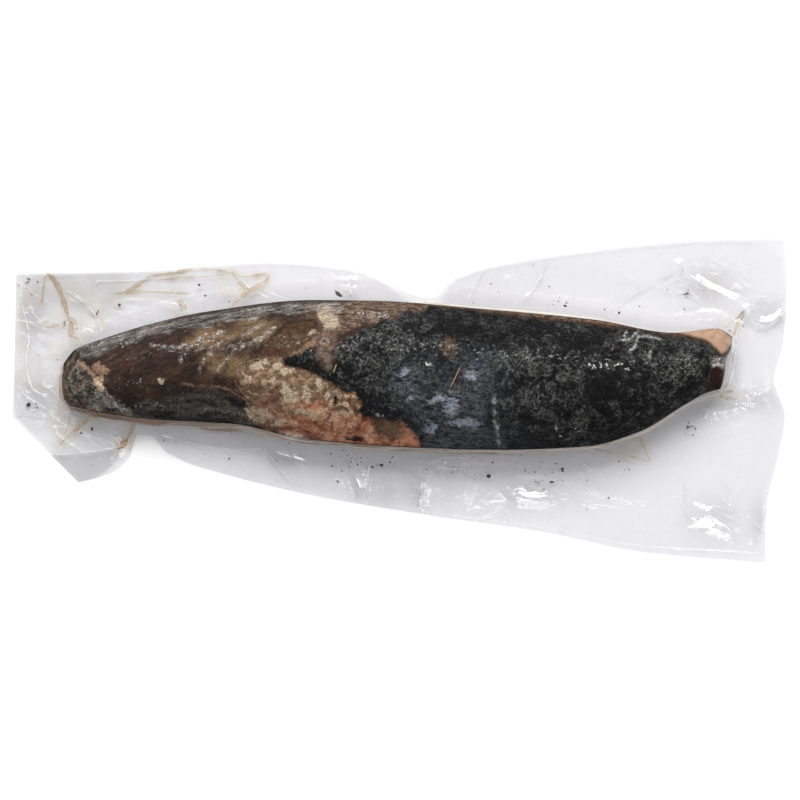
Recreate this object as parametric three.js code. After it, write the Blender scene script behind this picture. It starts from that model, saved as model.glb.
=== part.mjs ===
// Seared bonito loin, vacuum packed: a long loin of fish lies skin side up in a clear pouch. The two
// films cling to it and meet in a thin, wavy margin all round. The pouch is sealed, so film and loin
// are one solid out to the film's surface.
// Units are millimetres. X runs along the loin to its head end, Y across it, Z up from the table.
// The origin is on the table, under the middle of the pouch's outline.

import * as THREE from "three";
import { mergeGeometries, mergeVertices } from "three/addons/utils/BufferGeometryUtils.js";

const { clamp, degToRad, lerp, smoothstep } = THREE.MathUtils;

// The pouch
const HALF_LENGTH = 352 / 2;
const HALF_WIDTH = 148 / 2;
const MARGIN_THICKNESS = 0.8; // both films with the juice between them
const MARGIN_LIFT = 2.2; // the margin's mean height over the table, at its rim
const MARGIN_ROOT_LIFT = 3.2; // how much higher the margin is where it leaves the loin
const MARGIN_ROOT_REACH = 22; // distance over which that extra height fades
const LEAST_LIFT = 1.1; // the lowest the margin's upper face comes
const LOWER_FILM_REACH = 6.5; // distance from the loin over which the lower film leaves the table
const LEAST_FALL = 1; // the least height that the upper film falls from the loin to the margin

// The loin, as the film shows it
const TAIL_X = -153.5;
const HEAD_X = 152;
const CROWN = [[-153.5, 21], [-120, 28], [-70, 33.5], [-10, 37], [60, 36], [110, 29.5], [152, 20]];
const SHOULDER_SHARE = 0.42; // height of the loin's widest line, as a share of its crown
const DOME_POWER = 2.4; // roundness of the section: 2 is a parabola, more is squarer
const TAIL_ROUNDING = 18; // length over which each end rounds down to the shoulder
const HEAD_ROUNDING = 22;

// Outlines from above, as stations [along X, across Y], with CORNER where the outline turns sharply
const CORNER = true;
const LOIN_FAR_EDGE = [
  [-153.5, 15], [-147, 23], [-134, 28], [-111, 35], [-88, 40], [-40, 45.3], [-12, 45], [32, 41.7],
  [88, 36.4], [124, 30.6], [143, 32.5], [152, 28],
];
const LOIN_NEAR_EDGE = [
  [-153.5, 2], [-149, -3], [-111, -9], [-75, -11], [-44, -17.7], [9, -21.8], [44, -22.7], [84, -21.2],
  [107, -15], [138, 2], [152, 5],
];
const POUCH_FAR_EDGE = [
  [-HALF_LENGTH, 57.5], [-120, 58.5], [-59, 62.5], [-22, 59.5], [14, 46], [26, 56], [50, 62.5],
  [91, 68.5], [137, 73], [HALF_LENGTH, HALF_WIDTH],
];
const POUCH_NEAR_EDGE = [
  [-HALF_LENGTH, -7.5], [-161, -22.5, CORNER], [-146, -37.5, CORNER], [-131, -33], [-123, -25.5],
  [-120, -16, CORNER], [-113, -16, CORNER], [-106, -24, CORNER], [-95, -29], [-41, -43], [14, -52.5],
  [68, -60.5], [109, -69], [166, -HALF_WIDTH],
];
// The two ends of the pouch, as stations [across Y, along X]
const POUCH_TAIL_END = [[-7.5, -HALF_LENGTH], [27, -175], [57.5, -174.5]];
const POUCH_HEAD_END = [
  [-HALF_WIDTH, 166], [-50, 166.5], [-25, 172], [-7, 175], [9.5, 170], [26, 174], [50, HALF_LENGTH],
  [HALF_WIDTH, 174.5],
];

// Long waves of the margin: wavelength, direction in degrees from X, height and phase
const MARGIN_WAVES = [
  { length: 74, direction: 25, height: 0.8, phase: 0.4 },
  { length: 49, direction: -38, height: 0.6, phase: 2.1 },
  { length: 37, direction: 80, height: 0.4, phase: 4.0 },
];
// Places where the film is pulled up: where its rim draws in, and the folds at the loin's head end
const MARGIN_PULLS = [
  { x: 170, y: 9.5, height: 6, reach: 11 },
  { x: 14, y: 46, height: 4.5, reach: 10 },
  { x: -116, y: -15.5, height: 3, reach: 8 },
  { x: 172, y: 40, height: 4, reach: 13 },
  { x: -170, y: 20, height: 3, reach: 14 },
  { x: 168, y: -45, height: 3.5, reach: 13 },
];

// Cells of the surface along the pouch, and across its near margin, its loin and its far margin
const CELLS_ALONG = 92;
const CELLS_ACROSS = [7, 13, 6];
const [NEAR_CELLS, LOIN_CELLS, FAR_CELLS] = CELLS_ACROSS;
const CELLS_OVER = NEAR_CELLS + LOIN_CELLS + FAR_CELLS;
const CROWDING = 1.5; // how much the margin's lines crowd towards the loin
const WELD_DISTANCE = 1e-3; // points of the films and the rim closer than this are one point

// A smooth curve through stations that never swings past them: a cubic between each two, whose slope
// at a station is the harmonic mean of the slopes on its two sides, or level where they differ in sign.
// At a corner, each side keeps its own slope.
function smoothThrough(stations) {
  const last = stations.length - 1;
  const slopes = stations.slice(1).map(([x, y], i) => (y - stations[i][1]) / (x - stations[i][0]));
  const tangents = stations.map(([, , corner], i) => {
    const before = slopes[Math.max(i - 1, 0)];
    const after = slopes[Math.min(i, last - 1)];
    const mean = before * after > 0 ? (2 * before * after) / (before + after) : 0;
    return corner ? { arriving: before, leaving: after } : { arriving: mean, leaving: mean };
  });
  return (along) => {
    const x = clamp(along, stations[0][0], stations[last][0]);
    const i = Math.max(0, stations.findIndex((station) => station[0] >= x) - 1);
    const [x0, y0] = stations[i];
    const [x1, y1] = stations[i + 1];
    const t = (x - x0) / (x1 - x0);
    const back = 1 - t;
    const ends = y0 * (1 + 2 * t) * back * back + y1 * (3 - 2 * t) * t * t;
    const swing = tangents[i].leaving * back - tangents[i + 1].arriving * t;
    return ends + (x1 - x0) * t * back * swing;
  };
}

const crown = smoothThrough(CROWN);
const loinFar = smoothThrough(LOIN_FAR_EDGE);
const loinNear = smoothThrough(LOIN_NEAR_EDGE);
const pouchFar = smoothThrough(POUCH_FAR_EDGE);
const pouchNear = smoothThrough(POUCH_NEAR_EDGE);
const pouchTail = smoothThrough(POUCH_TAIL_END);
const pouchHead = smoothThrough(POUCH_HEAD_END);

// Where a point lies against the loin: across is -1 to 1 from the loin's near edge to its far edge,
// outside is the distance from its outline, and out is 0 at that outline and 1 at the pouch's rim.
function against(x, y) {
  const [near, far] = [loinNear(x), loinFar(x)];
  const across = (2 * y - near - far) / (far - near);
  const beside = Math.max(y - far, near - y, 0);
  const beyond = Math.max(x - HEAD_X, TAIL_X - x, 0);
  const sideRoom = y > far ? pouchFar(x) - far : near - pouchNear(x);
  const endRoom = x > HEAD_X ? pouchHead(y) - HEAD_X : TAIL_X - pouchTail(y);
  const out = 1 - Math.max(0, 1 - beside / sideRoom) * Math.max(0, 1 - beyond / endRoom);
  return { across, outside: Math.hypot(beside, beyond), out };
}

// Height of the margin's upper face: it sinks away from the loin, with long waves and pulled-up places.
function marginHeight(x, y, outside) {
  const root = MARGIN_ROOT_LIFT * Math.exp(-outside / MARGIN_ROOT_REACH);
  const waves = MARGIN_WAVES.reduce((sum, { length, direction, height, phase }) => {
    const angle = degToRad(direction);
    const distance = x * Math.cos(angle) + y * Math.sin(angle);
    return sum + height * Math.sin((2 * Math.PI * distance) / length + phase);
  }, 0);
  const pulls = MARGIN_PULLS.reduce((sum, pull) => {
    const distance = Math.hypot(x - pull.x, y - pull.y);
    return sum + pull.height * Math.exp(-((distance / pull.reach) ** 2));
  }, 0);
  return Math.max(LEAST_LIFT, MARGIN_LIFT + root + waves + pulls);
}

// Height of the upper film. Over the loin it is a dome from the crown down to the shoulder. Outside,
// it falls from the shoulder to the margin at the slope that the dome has there, and is shut at the rim.
function upperHeight(x, y) {
  const { across, outside, out } = against(x, y);
  const peak = crown(x);
  const shoulder = SHOULDER_SHARE * peak;
  const margin = marginHeight(x, y, outside);
  if (outside > 0) {
    const edgeSlope = (2 * DOME_POWER * (peak - shoulder)) / (loinFar(x) - loinNear(x));
    const fall = Math.exp((-outside * edgeSlope) / Math.max(shoulder - margin, LEAST_FALL));
    return margin + (shoulder - margin) * fall * (1 - out);
  }
  const tail = Math.max(0, 1 - (x - TAIL_X) / TAIL_ROUNDING);
  const head = Math.max(0, 1 - (HEAD_X - x) / HEAD_ROUNDING);
  const rounding = 1 - Math.max(tail, head) ** DOME_POWER;
  return shoulder + (peak - shoulder) * (1 - Math.abs(across) ** DOME_POWER) * rounding;
}

// Height of the lower film: flat on the table under the loin, then rising to the margin.
function lowerHeight(x, y) {
  const { outside } = against(x, y);
  const rise = smoothstep(outside, 0, LOWER_FILM_REACH);
  return rise * (marginHeight(x, y, outside) - MARGIN_THICKNESS);
}

// A place across the pouch at a distance along it: v runs from 0 at the near rim, over the loin's two
// edges, to 1 at the far rim. Lines crowd together at the loin's edges, where the film turns most.
function acrossAt(x, v) {
  const cell = v * CELLS_OVER;
  const [near, far] = [loinNear(x), loinFar(x)];
  if (cell < NEAR_CELLS) return lerp(near, pouchNear(x), (1 - cell / NEAR_CELLS) ** CROWDING);
  const beyond = cell - NEAR_CELLS - LOIN_CELLS;
  if (beyond > 0) return lerp(far, pouchFar(x), (beyond / FAR_CELLS) ** CROWDING);
  const turn = ((cell - NEAR_CELLS) / LOIN_CELLS - 0.5) * Math.PI;
  return lerp(near, far, (1 + Math.sin(turn)) / 2);
}

// A place on the pouch seen from above, for u along it and v across it, both from 0 to 1.
function planPoint(u, v) {
  const tailX = pouchTail(acrossAt(-HALF_LENGTH, v));
  const headX = pouchHead(acrossAt(HALF_LENGTH, v));
  const x = lerp(tailX, headX, u);
  return [x, acrossAt(x, v)];
}

// The step that a place on a plane one unit wide, centred on 0, has among its cells.
function stepOf(place, cells) {
  return Math.round((place + 0.5) * cells);
}

// One film, as a plane of cells placed at a height.
function film(height) {
  const sheet = new THREE.PlaneGeometry(1, 1, CELLS_ALONG, CELLS_OVER);
  const places = sheet.getAttribute("position");
  for (let i = 0; i < places.count; i += 1) {
    const u = stepOf(places.getX(i), CELLS_ALONG) / CELLS_ALONG;
    const v = stepOf(places.getY(i), CELLS_OVER) / CELLS_OVER;
    const [x, y] = planPoint(u, v);
    places.setXYZ(i, x, y, height(x, y));
  }
  return sheet;
}

// The edge that joins the films, as a strip of cells wrapped round the rim.
function rim() {
  const around = 2 * (CELLS_ALONG + CELLS_OVER);
  const strip = new THREE.PlaneGeometry(1, 1, around, 1);
  const places = strip.getAttribute("position");
  for (let i = 0; i < places.count; i += 1) {
    const upper = places.getY(i) > 0;
    const [x, y] = planPoint(...rimPlace(stepOf(places.getX(i), around)));
    places.setXYZ(i, x, y, upper ? upperHeight(x, y) : lowerHeight(x, y));
  }
  return strip;
}

// The u and v of a step round the rim: along the near side, the head end, the far side and the tail end.
function rimPlace(step) {
  if (step <= CELLS_ALONG) return [step / CELLS_ALONG, 0];
  if (step <= CELLS_ALONG + CELLS_OVER) return [1, (step - CELLS_ALONG) / CELLS_OVER];
  const back = step - CELLS_ALONG - CELLS_OVER;
  if (back <= CELLS_ALONG) return [(CELLS_ALONG - back) / CELLS_ALONG, 1];
  return [0, (CELLS_OVER - (back - CELLS_ALONG)) / CELLS_OVER];
}

// The lower film faces down, so its triangles are turned round.
function turnedOver(sheet) {
  sheet.setIndex(Array.from(sheet.index.array).reverse());
  return sheet;
}

function pouchGeometry() {
  const pieces = [film(upperHeight), turnedOver(film(lowerHeight)), rim()];
  pieces.forEach((piece) => piece.deleteAttribute("normal").deleteAttribute("uv"));
  const closed = mergeVertices(mergeGeometries(pieces), WELD_DISTANCE);
  closed.computeVertexNormals();
  return closed;
}

const clearFilm = new THREE.MeshStandardMaterial({ color: "#8d8783", roughness: 0.22, metalness: 0 });
const pouch = new THREE.Mesh(pouchGeometry(), clearFilm);
pouch.name = "pouch";

const part = new THREE.Group();
part.add(pouch);

export default part;
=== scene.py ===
# Looks of a seared bonito loin in its clear vacuum pouch: the film, the loin under it, the juice in the
# film's creases, loose flakes of char and bits of straw. Shapes are worked out in millimetres, with X along
# the loin to its head end, Y across it and Z up from the table, and go into the meshes in metres.

import bpy
import numpy as np
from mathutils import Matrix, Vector


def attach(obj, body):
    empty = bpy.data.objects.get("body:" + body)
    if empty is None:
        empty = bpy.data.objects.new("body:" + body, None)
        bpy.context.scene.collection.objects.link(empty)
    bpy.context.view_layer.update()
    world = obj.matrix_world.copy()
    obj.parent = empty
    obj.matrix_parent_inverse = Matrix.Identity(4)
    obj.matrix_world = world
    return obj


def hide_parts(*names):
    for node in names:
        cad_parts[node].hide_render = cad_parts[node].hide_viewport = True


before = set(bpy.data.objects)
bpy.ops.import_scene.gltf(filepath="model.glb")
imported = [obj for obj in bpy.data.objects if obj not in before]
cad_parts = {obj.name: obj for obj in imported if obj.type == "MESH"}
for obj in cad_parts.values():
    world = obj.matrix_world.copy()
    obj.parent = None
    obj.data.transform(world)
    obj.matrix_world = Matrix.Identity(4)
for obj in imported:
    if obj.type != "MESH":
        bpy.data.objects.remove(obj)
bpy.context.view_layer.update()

MM = 0.001

# The photograph's frame
PIXEL = 0.4545  # millimetres of the table that one pixel covers
PIXELS = 800
MIDDLE = np.array((399.5, 399.0))  # the pixel over the origin
CAMERA_HEIGHT = 2000.0
LOIN_LEVEL = 22.0  # mean height of the loin's upper side, which looks larger for being nearer

# The pouch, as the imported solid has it
HALF_LENGTH = 352 / 2
HALF_WIDTH = 148 / 2
MARGIN_LIFT = 2.2
MARGIN_ROOT_LIFT = 3.2
MARGIN_ROOT_REACH = 22
MARGIN_THICKNESS = 0.8
LEAST_LIFT = 1.1
LEAST_FALL = 1
LOWER_FILM_REACH = 6.5
TAIL_X = -153.5
HEAD_X = 152
SHOULDER_SHARE = 0.42
DOME_POWER = 2.4
TAIL_ROUNDING = 18
HEAD_ROUNDING = 22
CORNER = True
CROWN = [(-153.5, 21), (-120, 28), (-70, 33.5), (-10, 37), (60, 36), (110, 29.5), (152, 20)]
LOIN_FAR_EDGE = [
    (-153.5, 15), (-147, 23), (-134, 28), (-111, 35), (-88, 40), (-40, 45.3), (-12, 45), (32, 41.7),
    (88, 36.4), (124, 30.6), (143, 32.5), (152, 28),
]
LOIN_NEAR_EDGE = [
    (-153.5, 2), (-149, -3), (-111, -9), (-75, -11), (-44, -17.7), (9, -21.8), (44, -22.7), (84, -21.2),
    (107, -15), (138, 2), (152, 5),
]
POUCH_FAR_EDGE = [
    (-HALF_LENGTH, 57.5), (-120, 58.5), (-59, 62.5), (-22, 59.5), (14, 46), (26, 56), (50, 62.5),
    (91, 68.5), (137, 73), (HALF_LENGTH, HALF_WIDTH),
]
POUCH_NEAR_EDGE = [
    (-HALF_LENGTH, -7.5), (-161, -22.5, CORNER), (-146, -37.5, CORNER), (-131, -33), (-123, -25.5),
    (-120, -16, CORNER), (-113, -16, CORNER), (-106, -24, CORNER), (-95, -29), (-41, -43), (14, -52.5),
    (68, -60.5), (109, -69), (166, -HALF_WIDTH),
]
POUCH_TAIL_END = [(-7.5, -HALF_LENGTH), (27, -175), (57.5, -174.5)]
POUCH_HEAD_END = [
    (-HALF_WIDTH, 166), (-50, 166.5), (-25, 172), (-7, 175), (9.5, 170), (26, 174), (50, HALF_LENGTH),
    (HALF_WIDTH, 174.5),
]
# Long waves of the margin: wavelength, direction in degrees from X, height and phase
MARGIN_WAVES = [(74, 25, 0.8, 0.4), (49, -38, 0.6, 2.1), (37, 80, 0.4, 4.0)]
# Places where the film is pulled up: X, Y, height and reach
MARGIN_PULLS = [
    (170, 9.5, 6, 11), (14, 46, 4.5, 10), (-116, -15.5, 3, 8), (172, 40, 4, 13), (-170, 20, 3, 14),
    (168, -45, 3.5, 13),
]
# How the film's margin settles on the table: the share of its height that it loses between two distances
# from the loin, the further share that it loses towards the rim and how far out that starts, and the least
# gap between the two films
MARGIN_SETTLING = 0.6
SETTLING_START = 1
SETTLING_REACH = 10
RIM_SETTLING = 0.25
RIM_START = 0.5
LEAST_GAP = 0.25


# Curves, distances and noise

def smooth_through(stations):
    """A smooth curve through stations that never swings past them: a cubic between each two, whose slope at
    a station is the harmonic mean of the slopes on its two sides, or level where they differ in sign. At a
    corner, each side keeps its own slope."""
    at, value = np.array([station[:2] for station in stations], float).T
    corner = np.array([len(station) > 2 for station in stations])
    slope = np.diff(value) / np.diff(at)
    before = np.concatenate([slope[:1], slope])
    after = np.concatenate([slope, slope[-1:]])
    agree = before * after > 0
    mean = np.where(agree, 2 * before * after / np.where(agree, before + after, 1), 0)
    arriving = np.where(corner, before, mean)
    leaving = np.where(corner, after, mean)

    def curve(along):
        x = np.clip(along, at[0], at[-1])
        i = np.clip(np.searchsorted(at, x) - 1, 0, len(at) - 2)
        span = at[i + 1] - at[i]
        t = (x - at[i]) / span
        back = 1 - t
        ends = value[i] * (1 + 2 * t) * back**2 + value[i + 1] * (3 - 2 * t) * t**2
        return ends + span * t * back * (leaving[i] * back - arriving[i + 1] * t)

    return curve


def smooth_step(value, low, high):
    """0 below low, 1 above high, and the cubic 3t^2 - 2t^3 between."""
    t = np.clip((value - low) / (high - low), 0, 1)
    return t * t * (3 - 2 * t)


def blend(a, b, t):
    """The value that lies a share t of the way from a to b."""
    return a + (b - a) * t


LATTICE = 512  # cells each way before the noise repeats


def noise(x, y, cell, seed):
    """Smooth noise from -1 to 1: random values on a square lattice, blended between its corners."""
    lattice = np.random.default_rng(seed).uniform(-1, 1, (LATTICE, LATTICE))
    column = np.floor(x / cell).astype(int)
    row = np.floor(y / cell).astype(int)
    s = smooth_step(x / cell - column, 0, 1)
    t = smooth_step(y / cell - row, 0, 1)

    def corner(i, j):
        return lattice[(column + i) % LATTICE, (row + j) % LATTICE]

    return blend(blend(corner(0, 0), corner(1, 0), s), blend(corner(0, 1), corner(1, 1), s), t)


def fractal(x, y, cell, seed, octaves=4):
    """Noise with each next octave half as large and half as strong."""
    return sum(noise(x, y, cell / 2**k, seed + k) / 2**k for k in range(octaves))


def lumps(x, y, height, cell, seed, octaves):
    """Fractal noise of a height."""
    return height * fractal(x, y, cell, seed, octaves)


def uneven(x, y, mean, swing, cell, seed, octaves, least, most):
    """A factor that wanders about its mean: lumps of that swing, kept between the least and the most."""
    return np.clip(mean + lumps(x, y, swing, cell, seed, octaves), least, most)


def on_table(pixels):
    """Places on the table, in millimetres, under pixels of the photograph."""
    return (np.array(pixels, float) - MIDDLE) * (PIXEL, -PIXEL)


def on_loin(pixels):
    """The same for places on the loin's upper side, which is nearer to the camera."""
    return on_table(pixels) * (1 - LOIN_LEVEL / CAMERA_HEIGHT)


def rounded(points, closed=False, steps=6):
    """A line through points with its corners rounded: Catmull-Rom cubics, with steps parts in each span."""
    points = np.asarray(points, float)
    if closed:
        ring = np.concatenate([points[-1:], points, points[:2]])
    else:
        ring = np.concatenate([2 * points[:1] - points[1:2], points, 2 * points[-1:] - points[-2:-1]])
    t = np.arange(steps)[:, None] / steps
    a, b, c, d = (ring[k : len(ring) - 3 + k, None] for k in range(4))
    spans = b + t / 2 * (c - a + t * (2 * a - 5 * b + 4 * c - d + t * (3 * (b - c) + d - a)))
    line = spans.reshape(-1, points.shape[1])
    return line if closed else np.concatenate([line, points[-1:]])


def line_distance(x, y, points):
    """Distance from each place to the nearest of the straight pieces between points."""
    nearest = np.full(np.shape(x), np.inf)
    for (ax, ay), (bx, by) in zip(points[:-1], points[1:]):
        dx, dy = bx - ax, by - ay
        t = np.clip(((x - ax) * dx + (y - ay) * dy) / (dx * dx + dy * dy), 0, 1)
        nearest = np.minimum(nearest, np.hypot(x - ax - t * dx, y - ay - t * dy))
    return nearest


def depth_inside(x, y, outline):
    """Distance from each place to a closed outline: above 0 inside it and below 0 outside."""
    ring = np.concatenate([outline, outline[:1]])
    inside = np.zeros(np.shape(x), bool)
    for (ax, ay), (bx, by) in zip(ring[:-1], ring[1:]):
        if ay != by:
            inside ^= ((ay > y) != (by > y)) & (x < ax + (y - ay) * (bx - ax) / (by - ay))
    return np.where(inside, 1, -1) * line_distance(x, y, ring)


# The pouch's form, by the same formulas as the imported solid

crown = smooth_through(CROWN)
loin_far = smooth_through(LOIN_FAR_EDGE)
loin_near = smooth_through(LOIN_NEAR_EDGE)
pouch_far = smooth_through(POUCH_FAR_EDGE)
pouch_near = smooth_through(POUCH_NEAR_EDGE)
pouch_tail = smooth_through(POUCH_TAIL_END)
pouch_head = smooth_through(POUCH_HEAD_END)


def against(x, y):
    """Where a place lies against the loin: across is -1 to 1 from its near edge to its far edge, outside is
    the distance from its outline, and out is 0 at that outline and 1 at the pouch's rim."""
    near, far = loin_near(x), loin_far(x)
    across = (2 * y - near - far) / (far - near)
    beside = np.maximum(np.maximum(y - far, near - y), 0)
    beyond = np.maximum(np.maximum(x - HEAD_X, TAIL_X - x), 0)
    side_room = np.where(y > far, pouch_far(x) - far, near - pouch_near(x))
    end_room = np.where(x > HEAD_X, pouch_head(y) - HEAD_X, TAIL_X - pouch_tail(y))
    out = 1 - np.maximum(0, 1 - beside / side_room) * np.maximum(0, 1 - beyond / end_room)
    return across, np.hypot(beside, beyond), out


def margin_height(x, y, outside):
    """Height of the margin's upper face: it sinks away from the loin, with long waves and places that are
    pulled up."""
    height = MARGIN_LIFT + MARGIN_ROOT_LIFT * np.exp(-outside / MARGIN_ROOT_REACH)
    for length, direction, rise, phase in MARGIN_WAVES:
        angle = np.radians(direction)
        distance = x * np.cos(angle) + y * np.sin(angle)
        height = height + rise * np.sin(2 * np.pi * distance / length + phase)
    for pull_x, pull_y, rise, reach in MARGIN_PULLS:
        height = height + rise * np.exp(-((np.hypot(x - pull_x, y - pull_y) / reach) ** 2))
    return np.maximum(LEAST_LIFT, height)


def upper_height(x, y):
    """Height of the upper film: over the loin a dome from the crown down to the shoulder, and outside it a
    fall from the shoulder to the margin that starts at the dome's slope."""
    across, outside, out = against(x, y)
    peak = crown(x)
    shoulder = SHOULDER_SHARE * peak
    margin = margin_height(x, y, outside)
    edge_slope = 2 * DOME_POWER * (peak - shoulder) / (loin_far(x) - loin_near(x))
    fall = np.exp(-outside * edge_slope / np.maximum(shoulder - margin, LEAST_FALL))
    side = margin + (shoulder - margin) * fall * (1 - out)
    tail = np.maximum(0, 1 - (x - TAIL_X) / TAIL_ROUNDING)
    head = np.maximum(0, 1 - (HEAD_X - x) / HEAD_ROUNDING)
    ends = 1 - np.clip(np.maximum(tail, head), 0, 1) ** DOME_POWER
    dome = shoulder + (peak - shoulder) * (1 - np.clip(np.abs(across), 0, 1) ** DOME_POWER) * ends
    return np.where(outside > 0, side, dome)


def lower_height(x, y):
    """Height of the lower film: flat on the table under the loin, then rising to the margin."""
    outside = against(x, y)[1]
    rise = smooth_step(outside, 0, LOWER_FILM_REACH)
    return rise * (margin_height(x, y, outside) - MARGIN_THICKNESS)


def settled_height(x, y):
    """Height of the upper film once its margin has settled on the table: it loses a share of its height
    away from the loin, and a further share towards the rim."""
    outside, out = against(x, y)[1:]
    away = MARGIN_SETTLING * smooth_step(outside, SETTLING_START, SETTLING_REACH)
    at_rim = RIM_SETTLING * smooth_step(out, RIM_START, 1)
    return upper_height(x, y) * (1 - (away + at_rim))


def between_films(x, y):
    """Height halfway between the two films, where the juice and the char lie."""
    upper = settled_height(x, y)
    lower = np.maximum(np.minimum(lower_height(x, y), upper - LEAST_GAP), 0)
    return (upper + lower) / 2


# What the loin's upper side shows

# Outlines in the photograph's pixels, each with the depth of its ragged edge and the size of that edge's
# teeth in millimetres
OUTLINES = {
    "skin": (1.1, 4.0, [
        (430, 285), (428, 306), (412, 311), (396, 316), (376, 323), (358, 331), (345, 340), (332, 348),
        (315, 348), (300, 353), (285, 359), (300, 366), (316, 374), (330, 382), (346, 389), (358, 397),
        (364, 404), (361, 411), (375, 416.5), (394, 418.5), (408, 425.5), (416, 435), (419, 446),
        (420, 460), (600, 470), (720, 420), (715, 396), (709, 392), (711, 372), (712, 362), (717, 352),
        (706, 342), (693, 337.5), (677, 334.5), (657, 332), (608, 325.5), (535, 317), (470, 309.5),
        (440, 305), (440, 285),
    ]),
    "patch": (1.2, 4.0, [
        (251, 362), (268, 358), (290, 356), (330, 372), (380, 395), (430, 430), (426, 456), (365, 450),
        (317, 446), (292, 440), (272, 429), (256, 421), (247, 412), (251, 404), (244, 394), (241, 382),
        (244, 372),
    ]),
    "orange": (2.2, 7.0, [
        (270, 434), (283, 421), (297, 410), (311, 404), (328, 403), (343, 407), (360, 408), (400, 414),
        (430, 430), (426, 460), (300, 456), (262, 442),
    ]),
    "olive": (0.8, 3.0, [
        (258, 353), (270, 339), (284, 326), (300, 320), (313, 320), (317, 330), (308, 343), (296, 351),
        (283, 356), (266, 358),
    ]),
    "upper_flesh": (1.2, 4.0, [
        (326, 292), (430, 295), (428, 308), (405, 313), (385, 319), (352, 327), (336, 330), (330, 314),
    ]),
    "leaf_foot": (0.5, 2.0, [
        (288, 357), (296, 350), (306, 343), (314, 338), (317, 344), (311, 351), (299, 357),
    ]),
    "cream": (1.0, 2.2, [
        (318, 309), (326, 305), (334, 311), (339, 320), (334, 328), (326, 330), (319, 322),
    ]),
    "pink": (0.8, 2.6, [
        (316, 333), (330, 329), (334, 340), (331, 352), (332, 362), (325, 367), (320, 356), (317, 345),
    ]),
    "band": (1.6, 6.0, [
        (100, 396), (120, 401), (150, 400), (180, 393), (205, 390), (228, 394), (246, 402), (250, 413),
        (262, 426), (240, 440), (180, 430), (120, 418), (96, 410),
    ]),
    "tail_cut": (0.7, 2.6, [
        (76, 348), (66, 360), (56, 370), (54, 400), (74, 414), (108, 408), (113, 396), (105, 388),
        (98, 378), (86, 367), (79, 357),
    ]),
    "orange_bit": (0.5, 1.8, [(91, 365), (97, 361), (105, 365), (109, 370), (103, 375), (95, 373)]),
    "tan_bit": (0.6, 1.8, [(94, 376), (101, 374), (104, 380), (102, 389), (97, 388), (93, 381)]),
    "oval": (0.5, 1.6, [
        (448, 337), (454, 341), (454.5, 349), (451, 356), (445, 355), (442, 348), (443, 340),
    ]),
    "lip": (0.35, 3.0, [
        (678, 332), (690, 327), (706, 324), (726, 325), (738, 334), (735, 344), (726, 352), (721, 354),
        (715, 348), (705, 340), (693, 336),
    ]),
    "cut": (0.5, 2.0, [(711, 369), (722, 367), (727, 380), (724, 394), (713, 397), (710, 382)]),
    "frosted_end": (0.8, 1.8, [
        (712, 358), (718, 355), (724, 356), (737, 347), (736, 362), (728, 366), (714, 367),
    ]),
    "lobe_shade": (1.0, 3.0, [(374, 415), (390, 415), (402, 423), (401, 436), (386, 438), (373, 428)]),
}
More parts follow.
